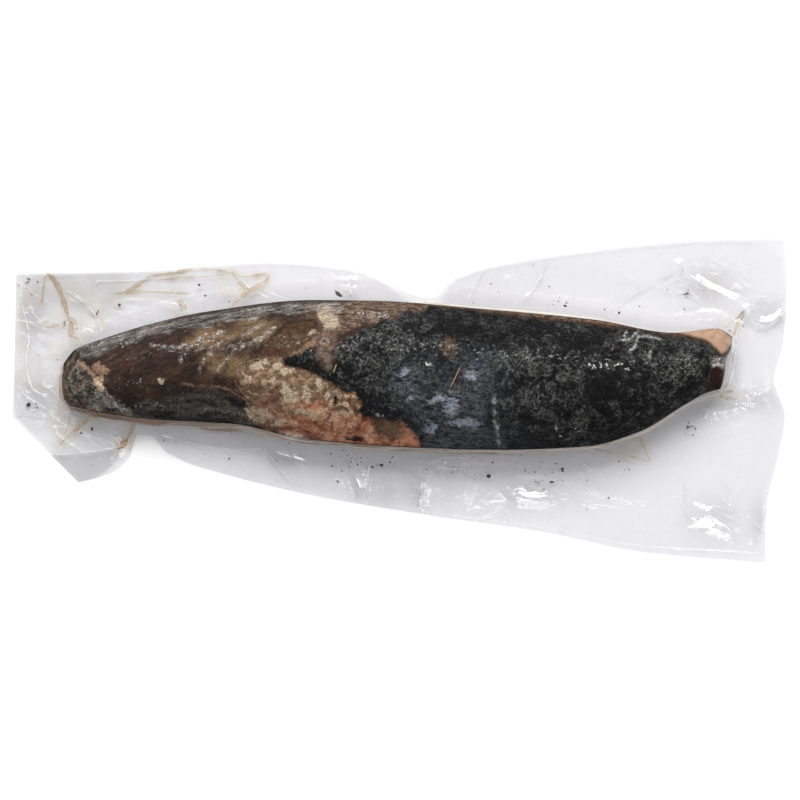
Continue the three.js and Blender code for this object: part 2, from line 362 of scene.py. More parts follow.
# Strokes: ragged edge, teeth and half width in millimetres, and their lines in pixels
STROKES = {
    "arcs": (0.9, 1.4, 0.4, [
        [(200, 371), (203, 360), (210, 352), (220, 342), (230, 336)],
        [(217, 371), (224, 360), (234, 350), (249, 343), (262, 336), (274, 326)],
        [(181, 360), (186, 350), (195, 341), (206, 334)],
        [(151, 344), (164, 345.5), (178, 346.5), (187, 343)],
        [(205, 340), (214, 334), (224, 330)],
        [(240, 337), (252, 329), (262, 322)],
        [(122, 343), (130, 341), (139, 336)],
    ]),
    "strip": (1.6, 5.0, 3.0, [
        [(80, 349), (100, 342), (123, 335), (171, 323), (220, 315), (268, 308), (312, 304), (335, 303)],
    ]),
    "bluish": (1.4, 5.0, 2.2, [
        [(87, 351), (110, 343.5), (152, 334), (183, 327), (221, 319), (255, 313), (300, 310)],
        [(160, 389), (185, 391), (215, 396)],
    ]),
    "tail_rim": (0.3, 3.0, 0.7, [
        [(78, 350), (67, 364), (62, 373), (62, 396), (72, 406), (100, 411), (128, 415)],
    ]),
    "tan_strip": (0.2, 2.0, 0.9, [[(79, 362), (86, 367), (94, 374)]]),
    "far_rim": (0.3, 6.0, 1.0, [
        [(77, 350), (100, 338), (123, 329), (171, 317), (220, 309.5), (268, 303), (312, 300), (345, 299)],
    ]),
    "frosty": (1.2, 2.0, 1.4, [
        [(98, 391), (104, 397), (111, 402)], [(114, 404), (120, 406), (126, 411)], [(88, 404), (96, 407)],
    ]),
    "gaps": (0.4, 1.6, 0.7, [
        [(80, 356), (88, 361), (97, 358), (104, 355)],
        [(108, 372), (112, 380), (108, 386), (112, 394)],
        [(130, 383), (150, 385), (166, 385), (182, 381)],
        [(76, 352), (73, 362), (66, 369)],
    ]),
    # Frosted places; those on the upper flesh also carry painted glints of the film
    "frost_and_glints": (1.4, 3.0, 1.6, [
        [(99, 392), (106, 400), (112, 404)], [(115, 405), (124, 410)],
        [(138, 404), (150, 404), (163, 404)], [(84, 346), (105, 339), (118, 336)],
        [(130, 382), (144, 381)], [(172, 397), (178, 402)], [(349, 310), (368, 314), (387, 318)],
        [(238, 372), (244, 366)], [(198, 346), (210, 339), (222, 333)], [(205, 408), (240, 416)],
        [(254, 418), (262, 422)],
    ]),
    "seam": (0.35, 5.0, 0.35, [
        [(181, 382), (200, 385), (220, 386), (234, 392), (249, 400)],
        [(222, 387), (238, 389), (250, 396)],
    ]),
    "frost": (0.5, 1.0, 0.3, [
        [(638, 335.5), (646, 335), (659, 337)], [(620, 339), (630, 338), (634, 334), (637, 331)],
        [(629, 350), (634, 345), (637, 340)], [(624, 335), (626, 331)], [(376, 414), (382, 415)],
        [(650, 350), (648, 358)], [(712, 364), (724, 363)],
    ]),
    # A pale line where the film creases over the skin: painted highlight
    "soft_crease": (0.5, 3.0, 0.3, [[(492, 394), (493.5, 405), (494, 415), (497, 432), (499, 447)]]),
    # Painted highlights: small glints of the film over the loin
    "glints": (0.3, 0.8, 0.2, [
        [(588, 363), (592, 368)], [(592, 364), (594, 367)], [(599, 362), (600, 366)],
        [(605, 362), (606, 366)], [(613, 364), (620, 363)], [(625, 367), (628, 369)],
        [(425, 362), (428, 365), (430, 363)], [(336.5, 396), (337, 395)], [(555, 426), (556, 428)],
        [(560, 434), (561, 436)], [(286, 433), (290, 432)], [(294, 435), (299, 434)],
        [(303, 438), (308, 439)],
    ]),
    "pale_folds": (0.5, 2.0, 0.6, [
        [(318, 412), (326, 408), (333, 399), (345, 394), (356, 397)],
        [(345, 402), (352, 412), (356, 424)], [(287, 433), (294, 434), (301, 436)],
        [(332, 412), (337, 420), (334, 430)], [(300, 404), (312, 412)],
        [(276, 424), (284, 420), (296, 422)], [(372, 427), (366, 436), (372, 441)],
    ]),
    "leaf_edge": (0.2, 3.0, 0.4, [
        [(258, 353), (270, 339), (284, 326), (300, 320), (313, 320), (317, 326)],
    ]),
    "skin_edge": (0.3, 3.0, 1.0, [
        [(364, 405), (378, 409), (392, 411), (404, 417.5), (414.5, 427), (420.5, 438), (423, 450)],
    ]),
    "lip_edge": (0.15, 4.0, 0.35, [
        [(672, 331), (684, 329), (697, 326.5), (711, 325.5), (724, 328), (733, 335)],
    ]),
    "band_edge": (0.5, 4.0, 1.3, [
        [(112, 408), (150, 414.5), (190, 418), (230, 423), (252, 428), (268, 434)],
        [(205, 412), (225, 414), (245, 420)],
    ]),
    "vein": (0.3, 2.0, 0.5, [
        [(329, 404), (331, 412), (326, 419), (319, 427)],
        [(262, 425), (280, 428), (300, 427), (306, 431)],
        [(300, 420), (305, 426), (308, 432)],
    ]),
    "flesh_line": (0.25, 6.0, 0.8, [
        [(425, 302.5), (470, 305.5), (535, 313), (608, 321.5), (640, 326), (676, 332)],
    ]),
    "blackened": (0.5, 1.6, 0.6, [
        [(336, 397), (336, 402)], [(345, 437.5), (352, 439), (362, 438)], [(354, 437), (359, 438.5)],
    ]),
    "chips": (0.5, 1.4, 1.1, [
        [(160, 380), (162, 380)], [(311, 332), (313, 330)], [(246, 380), (250, 378)],
        [(247, 408), (250, 414)],
    ]),
}
OUTLINE_SEED = 100  # of the first outline's ragged edge
STROKE_SEED = 400  # of the first stroke's
SEED_STEP = 10
# Soft patches: middle and half sizes in pixels
SOFT_PATCHES = {
    "golden": [
        (258, 328, 26, 14), (225, 333, 24, 10), (238, 366, 14, 16), (205, 340, 22, 10), (290, 336, 22, 16),
        (335, 310, 30, 12), (215, 360, 16, 12),
    ],
    # Painted sheen on the skin, partly frost: strong in these places
    "sheen": [
        (436, 397, 13, 6), (409, 398, 6, 5), (431, 427, 13, 6), (464, 423, 19, 6), (470, 376, 8, 6),
        (403, 373, 6, 6), (450, 408, 8, 12),
    ],
    # The same sheen, partly frost and partly painted, faint over these wider patches
    "faint_blue_sheen": [
        (446, 412, 44, 34), (408, 384, 16, 18), (476, 372, 20, 16), (462, 436, 50, 15), (440, 442, 30, 10),
    ],
    "rosy": [(268, 416, 22, 13), (298, 404, 18, 8), (285, 428, 16, 7), (330, 422, 20, 12)],
    "leaf_red": [(267, 350, 12, 8), (278, 345, 10, 6)],
    "netted": [
        (520, 362, 34, 16), (560, 372, 30, 12), (540, 402, 34, 10), (672, 372, 30, 22), (690, 360, 20, 16),
        (630, 345, 30, 10), (580, 425, 26, 14), (470, 390, 20, 30), (390, 372, 34, 24),
    ],
    "smooth_black": [
        (441, 316, 20, 16), (610, 390, 24, 18), (600, 338, 30, 8), (575, 350, 20, 10), (470, 340, 26, 14),
        (620, 436, 24, 10), (520, 440, 24, 8), (455, 405, 30, 5), (388, 413, 22, 5),
    ],
    "speckled": [
        (385, 335, 45, 26), (360, 350, 30, 22), (420, 318, 30, 12), (690, 365, 16, 20), (577, 424, 8, 12),
        (620, 414, 10, 9), (648, 354, 7, 8), (671, 378, 8, 5),
    ],
    "fatty": [
        (256, 365, 8, 5), (264, 362, 8, 4), (247, 379, 5, 5), (279, 366, 7, 5), (288, 371, 7, 5),
        (285, 389, 6, 6), (291, 396, 7, 7), (284, 400, 5, 4), (303, 391, 4, 8), (309, 397, 4, 6),
        (317, 384, 5, 6), (251, 411, 5, 5), (268, 416, 5, 5), (261, 412, 5, 4), (312, 415, 9, 5),
        (322, 410, 6, 4), (349, 424, 3, 6), (334, 418, 3, 6), (328, 396, 4, 5), (272, 380, 4, 3),
        (240, 372, 4, 4), (258, 419, 6, 4), (277, 422, 6, 4), (300, 411, 6, 4), (326, 419, 5, 5),
        (342, 413, 5, 4), (246, 404, 4, 4),
    ],
}
# How far the soft patches are pulled about, along the loin and across it: the lumps' height, cell, seed and
# octaves
PULL_ALONG = (1.4, 4.5, 960, 3)
PULL_ACROSS = (1.4, 4.5, 970, 3)
# The loin's relief, in millimetres under the smooth dome: how deep the flesh and the skin lie, how much
# deeper the peeled patch does, the least depth, the groove round the tail's cut, and how far the arcs and
# the tail's bits stand out
FLESH_DEPTH = 0.95
SKIN_DEPTH = 0.3
PATCH_DEPTH = 0.1
LEAST_DEPTH = 0.1
TAIL_GROOVE_DEPTH = 0.9
TAIL_GROOVE_REACH = 0.9
ARC_HEIGHT = 0.3
BIT_HEIGHT = 0.4
# Lumps in the relief: height, cell, seed and octaves
SKIN_LUMPS = (0.12, 3.0, 700, 4)
SKIN_GRAIN = (0.05, 0.9, 706, 1)
PATCH_FLAKES = (0.3, 4.5, 710, 4)
STRIP_STREAKS = (0.16, 1.6, 720, 3)
STREAK_LENGTH = 6  # how many times as long as wide the streaks are
FLESH_LUMPS = (0.12, 5.0, 730, 4)
# Steps in the relief: how deep, below 0 where the loin stands out, and between which depths inside the edge
RELIEF_STEPS = {
    "oval": (0.4, -0.3, 0.6),
    "cut": (0.7, -0.3, 0.8),
    "lip": (-0.35, -0.3, 1.5),
    "chips": (-0.35, -0.2, 0.4),
}


def depths_on_loin(x, y):
    """For each outline and stroke, the depth of each place inside its ragged edge, in millimetres."""
    depths = {}
    for order, (name, (ragged, teeth, outline)) in enumerate(OUTLINES.items()):
        edge = rounded(on_loin(outline), closed=True)
        seed = OUTLINE_SEED + SEED_STEP * order
        depths[name] = depth_inside(x, y, edge) + ragged * fractal(x, y, teeth, seed)
    for order, (name, (ragged, teeth, half_width, lines)) in enumerate(STROKES.items()):
        distance = np.minimum.reduce([line_distance(x, y, rounded(on_loin(line))) for line in lines])
        seed = STROKE_SEED + SEED_STEP * order
        depths[name] = half_width - distance + ragged * fractal(x, y, teeth, seed)
    return depths


def bells(x, y, patches, onto):
    """The strongest of some bells at each place: 1 in a bell's middle, falling off over its half sizes."""
    middles = onto([patch[:2] for patch in patches])
    sizes = np.array([patch[2:4] for patch in patches]) * PIXEL
    return np.maximum.reduce([
        np.exp(-(((x - middle_x) / half_length) ** 2) - ((y - middle_y) / half_width) ** 2)
        for (middle_x, middle_y), (half_length, half_width) in zip(middles, sizes)
    ])


def soft_patches(x, y):
    """The soft patches at each place, as bells pulled about by noise."""
    pulled_x = x + lumps(x, y, *PULL_ALONG)
    pulled_y = y + lumps(x, y, *PULL_ACROSS)
    return {name: bells(pulled_x, pulled_y, patches, on_loin) for name, patches in SOFT_PATCHES.items()}


def relief(x, y, depths):
    """How deep the loin's surface lies under the smooth dome: the flesh lies lower than the skin, with
    grain on the skin, flakes on the peeled patch, streaks on the strip, raised arcs and bits, a groove
    round the tail's cut, and a step at each smaller place."""
    skin = smooth_step(depths["skin"], -0.2, 0.5)
    flesh = 1 - skin
    patch = smooth_step(depths["patch"], -0.2, 0.4)
    strip = smooth_step(depths["strip"], -1, 1)
    arcs = smooth_step(depths["arcs"], -0.4, 0.6)
    bits = smooth_step(np.maximum(depths["orange_bit"], depths["tan_bit"]), -0.2, 0.5)
    deep = blend(FLESH_DEPTH, SKIN_DEPTH, skin)
    deep = deep + skin * (lumps(x, y, *SKIN_LUMPS) + lumps(x, y, *SKIN_GRAIN))
    deep = deep + patch * flesh * (PATCH_DEPTH + np.abs(lumps(x, y, *PATCH_FLAKES)))
    deep = deep - ARC_HEIGHT * arcs * flesh
    deep = deep + lumps(x / STREAK_LENGTH, y, *STRIP_STREAKS) * strip
    deep = deep + lumps(x, y, *FLESH_LUMPS) * flesh
    deep = deep + TAIL_GROOVE_DEPTH * np.exp(-((depths["tail_cut"] / TAIL_GROOVE_REACH) ** 2))
    deep = deep - BIT_HEIGHT * bits
    for name, (depth, start, end) in RELIEF_STEPS.items():
        deep = deep + depth * smooth_step(depths[name], start, end)
    return np.maximum(deep, LEAST_DEPTH)


# Meshes

def quads(index):
    """The faces between the points of a grid, anticlockwise where its first count runs to the right."""
    corners = (index[:-1, :-1], index[1:, :-1], index[1:, 1:], index[:-1, 1:])
    return np.stack(corners, -1).reshape(-1, 4)


def add_piece(name, points, faces, finish, fields=None):
    """A piece of the object from points in millimetres, with its fields as attributes of the points."""
    mesh = bpy.data.meshes.new(name)
    mesh.from_pydata((points * MM).tolist(), [], faces)
    for field, values in (fields or {}).items():
        attribute = mesh.attributes.new(field, "FLOAT", "POINT")
        attribute.data.foreach_set("value", np.asarray(values, np.float32).ravel())
    mesh.shade_smooth()
    mesh.materials.append(finish)
    piece = bpy.data.objects.new(name, mesh)
    bpy.context.scene.collection.objects.link(piece)
    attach(piece, "root")
    return piece


# The loin

LOIN_CLEARANCE = 0.3  # between the film and the highest relief
LOIN_INSET = 0.2  # between the loin's outline and the film's
LOIN_BELLY = 4  # roundness of the underside: the power of its rise to the shoulder
# How far the cut head end stands back from the lip's tip, at places across it
HEAD_SET_BACK = [(0, 7), (6, 5.5), (13, 4.6), (18, 4.2), (23, 1.6), (29, 0)]
HEAD_SLANT_REACH = 22
LOIN_CAP_BULGE = 1.2  # how far each end's cap stands out
LOIN_CAP_LEVEL = 0.5  # height of its point, as a share of the shoulder's
LOIN_CROWDING = 0.2  # how much closer the stations are at the ends
LOIN_LENGTH_CELLS = 440
LOIN_TOP_CELLS = 172
LOIN_UNDER_CELLS = 40
LOIN_CAP_CELLS = 10

head_set_back = smooth_through(HEAD_SET_BACK)


def loin_stations():
    """Places along the loin and the share of the full section there: each end is a cap that opens from a
    point to the full section, and the body runs between them, with its stations closer at the ends."""
    opening = np.sin(np.linspace(0, np.pi / 2, LOIN_CAP_CELLS, endpoint=False))
    bulge = LOIN_CAP_BULGE * (1 - opening**2)
    tail = TAIL_X + LOIN_INSET + LOIN_CAP_BULGE
    head = HEAD_X - LOIN_INSET - LOIN_CAP_BULGE
    turn = np.linspace(-1, 1, LOIN_LENGTH_CELLS + 1)
    spaced = (1 - LOIN_CROWDING) * turn + LOIN_CROWDING * np.sin(turn * np.pi / 2)
    body = blend(tail, head, (1 + spaced) / 2)
    along = np.concatenate([tail - bulge, body, (head + bulge)[::-1]])
    share = np.concatenate([opening, np.ones_like(body), opening[::-1]])
    return along, share


def loin_points():
    """The loin as a closed section carried along X. Round the section, the place across the loin is the
    sine of a turn, on the upper side from its near edge to its far edge and back on the underside. The
    upper side is the pouch's dome, less the clearance and the relief; the underside rises to the
    shoulder."""
    along, share = loin_stations()
    over = np.linspace(-np.pi / 2, np.pi / 2, LOIN_TOP_CELLS, endpoint=False)
    under = np.linspace(np.pi / 2, 1.5 * np.pi, LOIN_UNDER_CELLS, endpoint=False)
    side = np.sin(np.concatenate([over, under]))
    upper = np.arange(LOIN_TOP_CELLS + LOIN_UNDER_CELLS) <= LOIN_TOP_CELLS
    x = np.repeat(along[:, None], len(side), 1)
    near, far = loin_near(x) + LOIN_INSET, loin_far(x) - LOIN_INSET
    middle = (near + far) / 2
    y = middle + side * share[:, None] * (far - near) / 2
    x = x - smooth_step(x, HEAD_X - HEAD_SLANT_REACH, HEAD_X) * head_set_back(y)
    depths = depths_on_loin(x, y)
    inside_x = np.clip(x, TAIL_X + LOIN_INSET, HEAD_X - LOIN_INSET)
    top = upper_height(inside_x, y) - LOIN_CLEARANCE - relief(x, y, depths)
    shoulder = SHOULDER_SHARE * crown(x) - LOIN_CLEARANCE
    bottom = LOIN_CLEARANCE + (shoulder - LOIN_CLEARANCE) * np.abs(side) ** LOIN_BELLY
    level = np.where(upper, top, bottom)
    cap_level = LOIN_CAP_LEVEL * SHOULDER_SHARE * crown(x)
    z = blend(cap_level, level, share[:, None])
    fields = {**depths, **soft_patches(x, y), "under": np.broadcast_to(~upper, x.shape).astype(float)}
    return np.stack([x, y, z], -1), fields


def make_loin():
    """The loin's sections joined round and along into one closed surface."""
    points, fields = loin_points()
    rings, around = points.shape[:2]
    index = np.arange(rings * around).reshape(rings, around)
    faces = quads(np.concatenate([index, index[:, :1]], 1))
    points = points.reshape(-1, 3)
    add_piece("seared_loin", points, faces.tolist(), loin_finish(), fields)


# The film

FILM_LENGTH_CELLS = 560
FILM_NEAR_CELLS = 64
FILM_LOIN_CELLS = 40
FILM_FAR_CELLS = 56
FILM_CELLS_OVER = FILM_NEAR_CELLS + FILM_LOIN_CELLS + FILM_FAR_CELLS
FILM_CROWDING = 1.2
UNDER_STRIDE = 4  # the lower film has one cell where the upper film has this many
FOLLOW = 0.45  # how much of the loin's relief the film follows
# Broad creases of the margin: height and half width in millimetres, and their lines in pixels
CREASES = [
    (0.4, 3.5, [(334, 296), (346, 288), (356, 276), (362, 268)]),
    (0.3, 3.5, [(425, 305), (440, 288), (470, 272)]),
    (0.2, 3.5, [(463, 308), (500, 286), (526, 270), (545, 258)]),
    (0.25, 4, [(560, 305), (620, 281), (690, 262)]),
    (1.6, 3.6, [(678, 264), (692, 278), (710, 289), (735, 300)]),
    (1.3, 3, [(744, 308), (757, 321), (772, 320), (788, 307)]),
    (1, 2.2, [(686, 324), (698, 318), (712, 317)]),
    (1.9, 4.4, [(694, 508), (708, 514), (722, 522), (732, 531)]),
    (1.5, 3.4, [(752, 538), (758, 522), (768, 510)]),
    (1.9, 4.2, [(506, 484), (516, 493), (532, 498), (546, 497)]),
    (1.2, 2.7, [(270, 450), (282, 454), (294, 459), (300, 465)]),
    (0.6, 3, [(345, 460), (358, 482), (364, 506)]),
    (0.6, 3, [(412, 466), (420, 480), (417, 513)]),
]
# Pinched folds of the film: half width in millimetres, how white they are, and their lines in pixels
FOLDS = [
    (0.77, 0.8, [
        (20, 290), (22, 305), (26, 321), (29, 333), (27, 351), (26, 362), (29, 378), (34, 389), (46, 394),
    ]),
    (0.49, 0.7, [(20, 378), (23, 392), (35, 401), (49, 409), (58, 413), (71, 410)]),
    (0.42, 0.6, [(15, 415), (23, 414), (39, 414)]),
    (0.56, 0.9, [(66, 289), (80, 299), (91, 309), (99, 321), (102, 329), (98, 332)]),
    (0.49, 0.8, [(67, 296), (83, 305), (96, 314)]),
    (0.35, 0.6, [(63, 288), (75, 293), (89, 303)]),
    (0.56, 0.8, [(82, 331), (87, 328), (94, 331)]),
    (0.63, 0.5, [(93, 289), (95, 282), (101, 280), (119, 280), (147, 278), (155, 275)]),
    (0.49, 0.6, [(99, 318), (112, 321), (119, 321)]),
    (0.63, 0.55, [(121, 297), (145, 299), (161, 301), (175, 303), (183, 307), (181, 312)]),
    (0.49, 0.45, [
        (107, 309), (121, 311), (139, 312), (153, 312), (154, 315), (141, 319), (125, 320), (111, 322),
    ]),
    (0.42, 0.5, [(149, 277), (175, 278), (199, 277), (225, 275)]),
    (0.63, 0.8, [(263, 288), (275, 294), (286, 298)]),
    (0.56, 0.7, [(257, 291), (264, 295), (271, 299)]),
    (0.42, 0.5, [(236, 273), (244, 283), (250, 288)]),
    (0.98, 0.3, [(345, 274), (349, 287), (352, 297)]),
    (1.12, 0.25, [(483, 269), (474, 285), (466, 301)]),
    (0.84, 0.5, [(548, 259), (540, 275), (531, 290), (512, 304)]),
    (1.12, 0.25, [(677, 269), (638, 290), (598, 310)]),
    (1.26, 0.9, [(783, 306), (778, 317), (764, 323), (747, 316), (742, 308)]),
    (0.42, 0.5, [(738, 298), (760, 296), (782, 296)]),
    (0.42, 0.5, [(672, 258), (682, 268), (676, 280)]),
    (0.63, 0.6, [(726, 400), (750, 392), (771, 386)]),
    (0.49, 0.5, [(728, 403), (752, 403), (773, 398)]),
    (0.56, 0.4, [(702, 413), (720, 419), (738, 410), (750, 404)]),
    (0.56, 0.5, [(718, 480), (728, 484), (726, 500)]),
    (0.7, 0.35, [(685, 480), (684, 500), (687, 520)]),
    (0.56, 0.5, [(158, 433), (183, 440), (225, 448), (264, 448)]),
    (1.12, 0.4, [(264, 446), (275, 463), (295, 485)]),
    (0.7, 0.6, [(345, 458), (352, 473), (358, 498)]),
    (0.56, 0.5, [(373, 458), (368, 469), (366, 499)]),
    (1.4, 0.35, [(417, 478), (419, 497), (417, 507)]),
    (0.7, 0.3, [(430, 462), (446, 456), (466, 457)]),
    (0.56, 0.35, [(566, 455), (590, 468), (600, 490)]),
    (0.5, 0.6, [(735, 338), (733, 355), (731, 370), (725, 388)]),
    (0.49, 0.6, [(46, 454), (80, 452), (119, 446)]),
]
# Lines of juice held between the films: half width in millimetres, strength, and their lines in pixels
JUICE_LINES = [
    (0.9, 0.75, [(46, 272), (53, 278), (59, 288), (63, 299), (66, 309), (69, 318)]),
    (0.6, 0.4, [(45, 274), (43, 287), (41, 303)]),
    (1.2, 0.6, [(67, 317), (72, 320), (76, 323)]),
    (1.1, 0.5, [(71, 321), (71, 328), (70, 335)]),
    (0.35, 0.8, [(68, 335), (74, 336), (79, 340), (83, 346)]),
    (0.6, 0.3, [(68, 319), (60, 323), (50, 326), (41, 325)]),
    (0.7, 0.3, [(110, 294), (130, 291), (150, 291), (190, 293)]),
    (0.9, 0.5, [(125, 290), (137, 284), (148, 277), (156, 274), (175, 272), (195, 267)]),
    (0.6, 0.6, [(195, 267), (215, 269), (231, 272), (243, 276), (258, 274), (268, 272)]),
    (0.7, 0.3, [(155, 279), (180, 277), (200, 276), (225, 274)]),
    (1.2, 0.55, [(269, 273), (264, 282), (250, 290), (240, 298), (231, 306)]),
    (0.9, 0.45, [(232, 273), (240, 282), (249, 290)]),
    (1.4, 0.4, [(178, 299), (183, 305), (183, 311)]),
    (0.8, 0.6, [(75, 350), (67, 361), (61.5, 370), (61, 385), (61.5, 397), (67, 404), (75, 410)]),
    (0.8, 1, [(126, 397), (112, 404), (95, 413), (76, 428), (58, 445)]),
    (0.3, 0.7, [(104, 410), (88, 421), (72, 434), (60, 441)]),
    (0.3, 0.7, [(71, 411), (68, 424), (63, 436), (55, 443)]),
    (1.1, 1, [(136, 419), (131, 431), (124, 442)]),
    (1, 1, [(128, 438), (122, 444), (115, 446)]),
]
# Lines of dried, straw-coloured juice at the head end, in the same way
DRIED_LINES = [
    (0.5, 0.6, [(583, 446), (610, 451), (632, 456), (649, 461)]),
    (0.6, 0.7, [(639, 436), (644, 448), (650, 461)]),
    (0.4, 0.5, [(608, 444), (640, 435)]),
    (0.9, 0.8, [(732, 336), (737, 322), (744, 309)]),
    (0.4, 0.5, [(722, 328), (733, 320), (743, 310)]),
    (0.7, 0.8, [(715, 390), (724, 397), (739, 398)]),
    (0.4, 0.5, [(733, 340), (733, 356), (729, 376), (722, 391)]),
]
# Blotches of juice: middle and half sizes in pixels, and strength
STAIN_BLOTCHES = [
    (70, 300, 26, 24, 0.45), (102, 302, 30, 14, 0.4), (62, 422, 14, 26, 0.55), (124, 441, 12, 8, 0.8),
    (182, 306, 10, 8, 0.6), (236, 292, 22, 12, 0.45), (240, 273, 24, 6, 0.5), (726, 325, 14, 14, 0.45),
    (734, 395, 14, 8, 0.4), (96, 413, 34, 7, 1.0), (132, 418, 24, 5, 1.0), (170, 421, 30, 4, 0.7),
    (630, 450, 26, 12, 0.35), (160, 290, 40, 10, 0.3), (30, 300, 14, 30, 0.25), (48, 342, 14, 30, 0.2),
    (60, 330, 90, 80, 0.32), (720, 285, 40, 22, 0.2), (82, 336, 12, 12, 0.5),
]
# Places where the film is crumpled: middle and half sizes in pixels
CRUMPLED = [
    (358, 484, 7, 12), (418, 490, 8, 16), (450, 460, 24, 8), (526, 494, 22, 10), (714, 518, 24, 20),
    (760, 520, 12, 22), (765, 312, 26, 14), (708, 284, 30, 20), (752, 398, 34, 14), (44, 400, 26, 26),
    (90, 438, 30, 14), (700, 405, 20, 14), (30, 320, 12, 40), (350, 288, 7, 9),
]
# Places where the film is taut and glossy: middle and half sizes in pixels
GLOSSY = [(285, 458, 17, 8)]
# Places where the film is dull, and two beside the loin's near side where it is made duller as painted
# shadow of the loin: middle and half sizes in pixels, and strength
DULL_AND_SHADED_PLACES = [
    (60, 296, 50, 44, 0.95), (100, 288, 60, 26, 0.85), (40, 395, 34, 26, 0.6), (190, 288, 60, 18, 0.5),
    (395, 490, 46, 22, 0.6), (420, 285, 140, 26, 0.22), (340, 472, 120, 26, 0.2),
]
# Places where the film is whitened: middle and half sizes in pixels
WHITENED = [(728, 374, 5, 20), (733, 345, 4, 10), (294, 436, 8, 3)]
# The flap at the near left corner, where the film lies double, in pixels
FLAP = [
    (44, 454), (62, 453), (80, 452), (121, 446), (118, 456), (110, 466), (97, 477), (80, 483),
    (62, 469),
]
# The band beside the loin's near and far edges: juice, and pale film that is partly a fold and partly a
# painted highlight along the edge. Its width in millimetres, and on the near side how brown it is, at
# pixels along the loin
NEAR_BAND = [
    (50, 0), (75, 1.6), (130, 3), (190, 3.8), (250, 3.6), (300, 2.2), (345, 1.6), (560, 1.6),
    (705, 2.2), (740, 0),
]
FAR_BAND = [(400, 0), (430, 1), (500, 1.2), (570, 0.8), (640, 0.5), (680, 0.4), (740, 0.3)]
FAR_BROWN = 0.4  # how brown it is on the far side, as a share of that
BAND_BROWN = [
    (60, 0.5), (110, 1), (170, 0.85), (230, 0.5), (300, 0.45), (420, 0.5), (560, 0.3), (705, 0.1),
]
LINE_STAIN = 0.35  # how much a line of juice tints the film beside it
STAIN_REACH = 1.4  # millimetres over which that falls off
LEAST_BAND = 0.01
BAND_WANDER = (0.35, 14.0, 850, 3)  # lumps in the band's width: height, cell, seed and octaves
# Unevenness of creases, dull places, painted shade and stains: mean, swing, cell, seed, octaves, least
# and most
CREASE_WANDER = (0.95, 0.25, 12.0, 837, 2, 0.5, 1.2)
DULL_AND_SHADE_WANDER = (0.75, 0.5, 12.0, 845, 4, 0, 1)
STAIN_WANDER = (0.7, 0.8, 5.0, 840, 4, 0, 1)
# Distances from the loin, in millimetres, between which the film stops clinging to it, stops following its
# relief, takes stains, comes free, is pleated and lies loose
CLING_ENDS = (-0.2, 1.2)
FOLLOW_ENDS = (0, 1.5)
STAIN_STARTS = (-0.5, 0.8)
FREE_STARTS = (1.0, 5.0)
PLEATS_START = (1, 8)
LOOSE_STARTS = (11, 22)
# Ripples of the margin: height in millimetres, then cell, seed and octaves
CREST_HEIGHT = 0.05
CRESTS = (16.0, 800, 4)
CREST_LENGTH = 1.4  # how many times as long as wide the crests are
PLEAT_HEIGHT = 0.09
PLEATS = (8.0, 805, 3)
PLEAT_LENGTH = 5
PLEAT_SWAY = 0.25  # how far pleats lean sideways, as a share of their distance from the loin
PLEAT_SWAY_CELL = 37
SHIVER = (0.03, 3.5, 810, 2)
SHIVER_LENGTH = 2.5
CRUMPLE_HEIGHT = 0.14  # what crests gain where the film is crumpled
DEEPEST_RIPPLE = -0.2
TAUTNESS = 0.8  # share of its ripples that the film loses where it is taut
RIM_FADE = 0.1  # share of the margin, at the rim, over which creases and ripples fade out


def across_at(x, v):
    """A place across the pouch: v runs from 0 at the near rim, over the loin's two edges, to 1 at the far
    rim. Lines crowd together towards the loin's edges."""
    cell = v * FILM_CELLS_OVER
    near, far = loin_near(x), loin_far(x)
    nearness = np.clip(1 - cell / FILM_NEAR_CELLS, 0, 1) ** FILM_CROWDING
    farness = np.clip((cell - FILM_NEAR_CELLS - FILM_LOIN_CELLS) / FILM_FAR_CELLS, 0, 1) ** FILM_CROWDING
    over = np.clip((cell - FILM_NEAR_CELLS) / FILM_LOIN_CELLS, 0, 1)
    place = blend(near, far, (1 + np.sin((over - 0.5) * np.pi)) / 2)
    return place + nearness * (pouch_near(x) - near) + farness * (pouch_far(x) - far)


def film_plan():
    """Places on the pouch from above: between the two ends at each v, straight along X, then across at
    that X."""
    u = np.linspace(0, 1, FILM_LENGTH_CELLS + 1)[:, None]
    v = np.linspace(0, 1, FILM_CELLS_OVER + 1)[None, :]
    tail = pouch_tail(across_at(np.full_like(v, -HALF_LENGTH), v))
    head = pouch_head(across_at(np.full_like(v, HALF_LENGTH), v))
    x = blend(tail, head, u)
    return x, across_at(x, np.broadcast_to(v, x.shape))


def creases(x, y):
    """Height that the creases add to the margin: a ridge with two flat sides along each line, unevenly
    high."""
    height = np.zeros_like(x)
    for rise, half_width, line in CREASES:
        distance = line_distance(x, y, rounded(on_table(line)))
        height = np.maximum(height, rise * (1 - distance / half_width))
    return height * uneven(x, y, *CREASE_WANDER)


def dullness_and_shade(x, y):
    """How dull the film is, from 0 to 1: all over the flap, and unevenly in places, of which the two beside
    the loin's near side stand for painted shadow.
    """
    places = np.maximum.reduce([place[4] * bells(x, y, [place], on_table) for place in DULL_AND_SHADED_PLACES])
    flap = smooth_step(depth_inside(x, y, on_table(FLAP)), -0.3, 0.3)
    return np.maximum(flap, places * uneven(x, y, *DULL_AND_SHADE_WANDER))


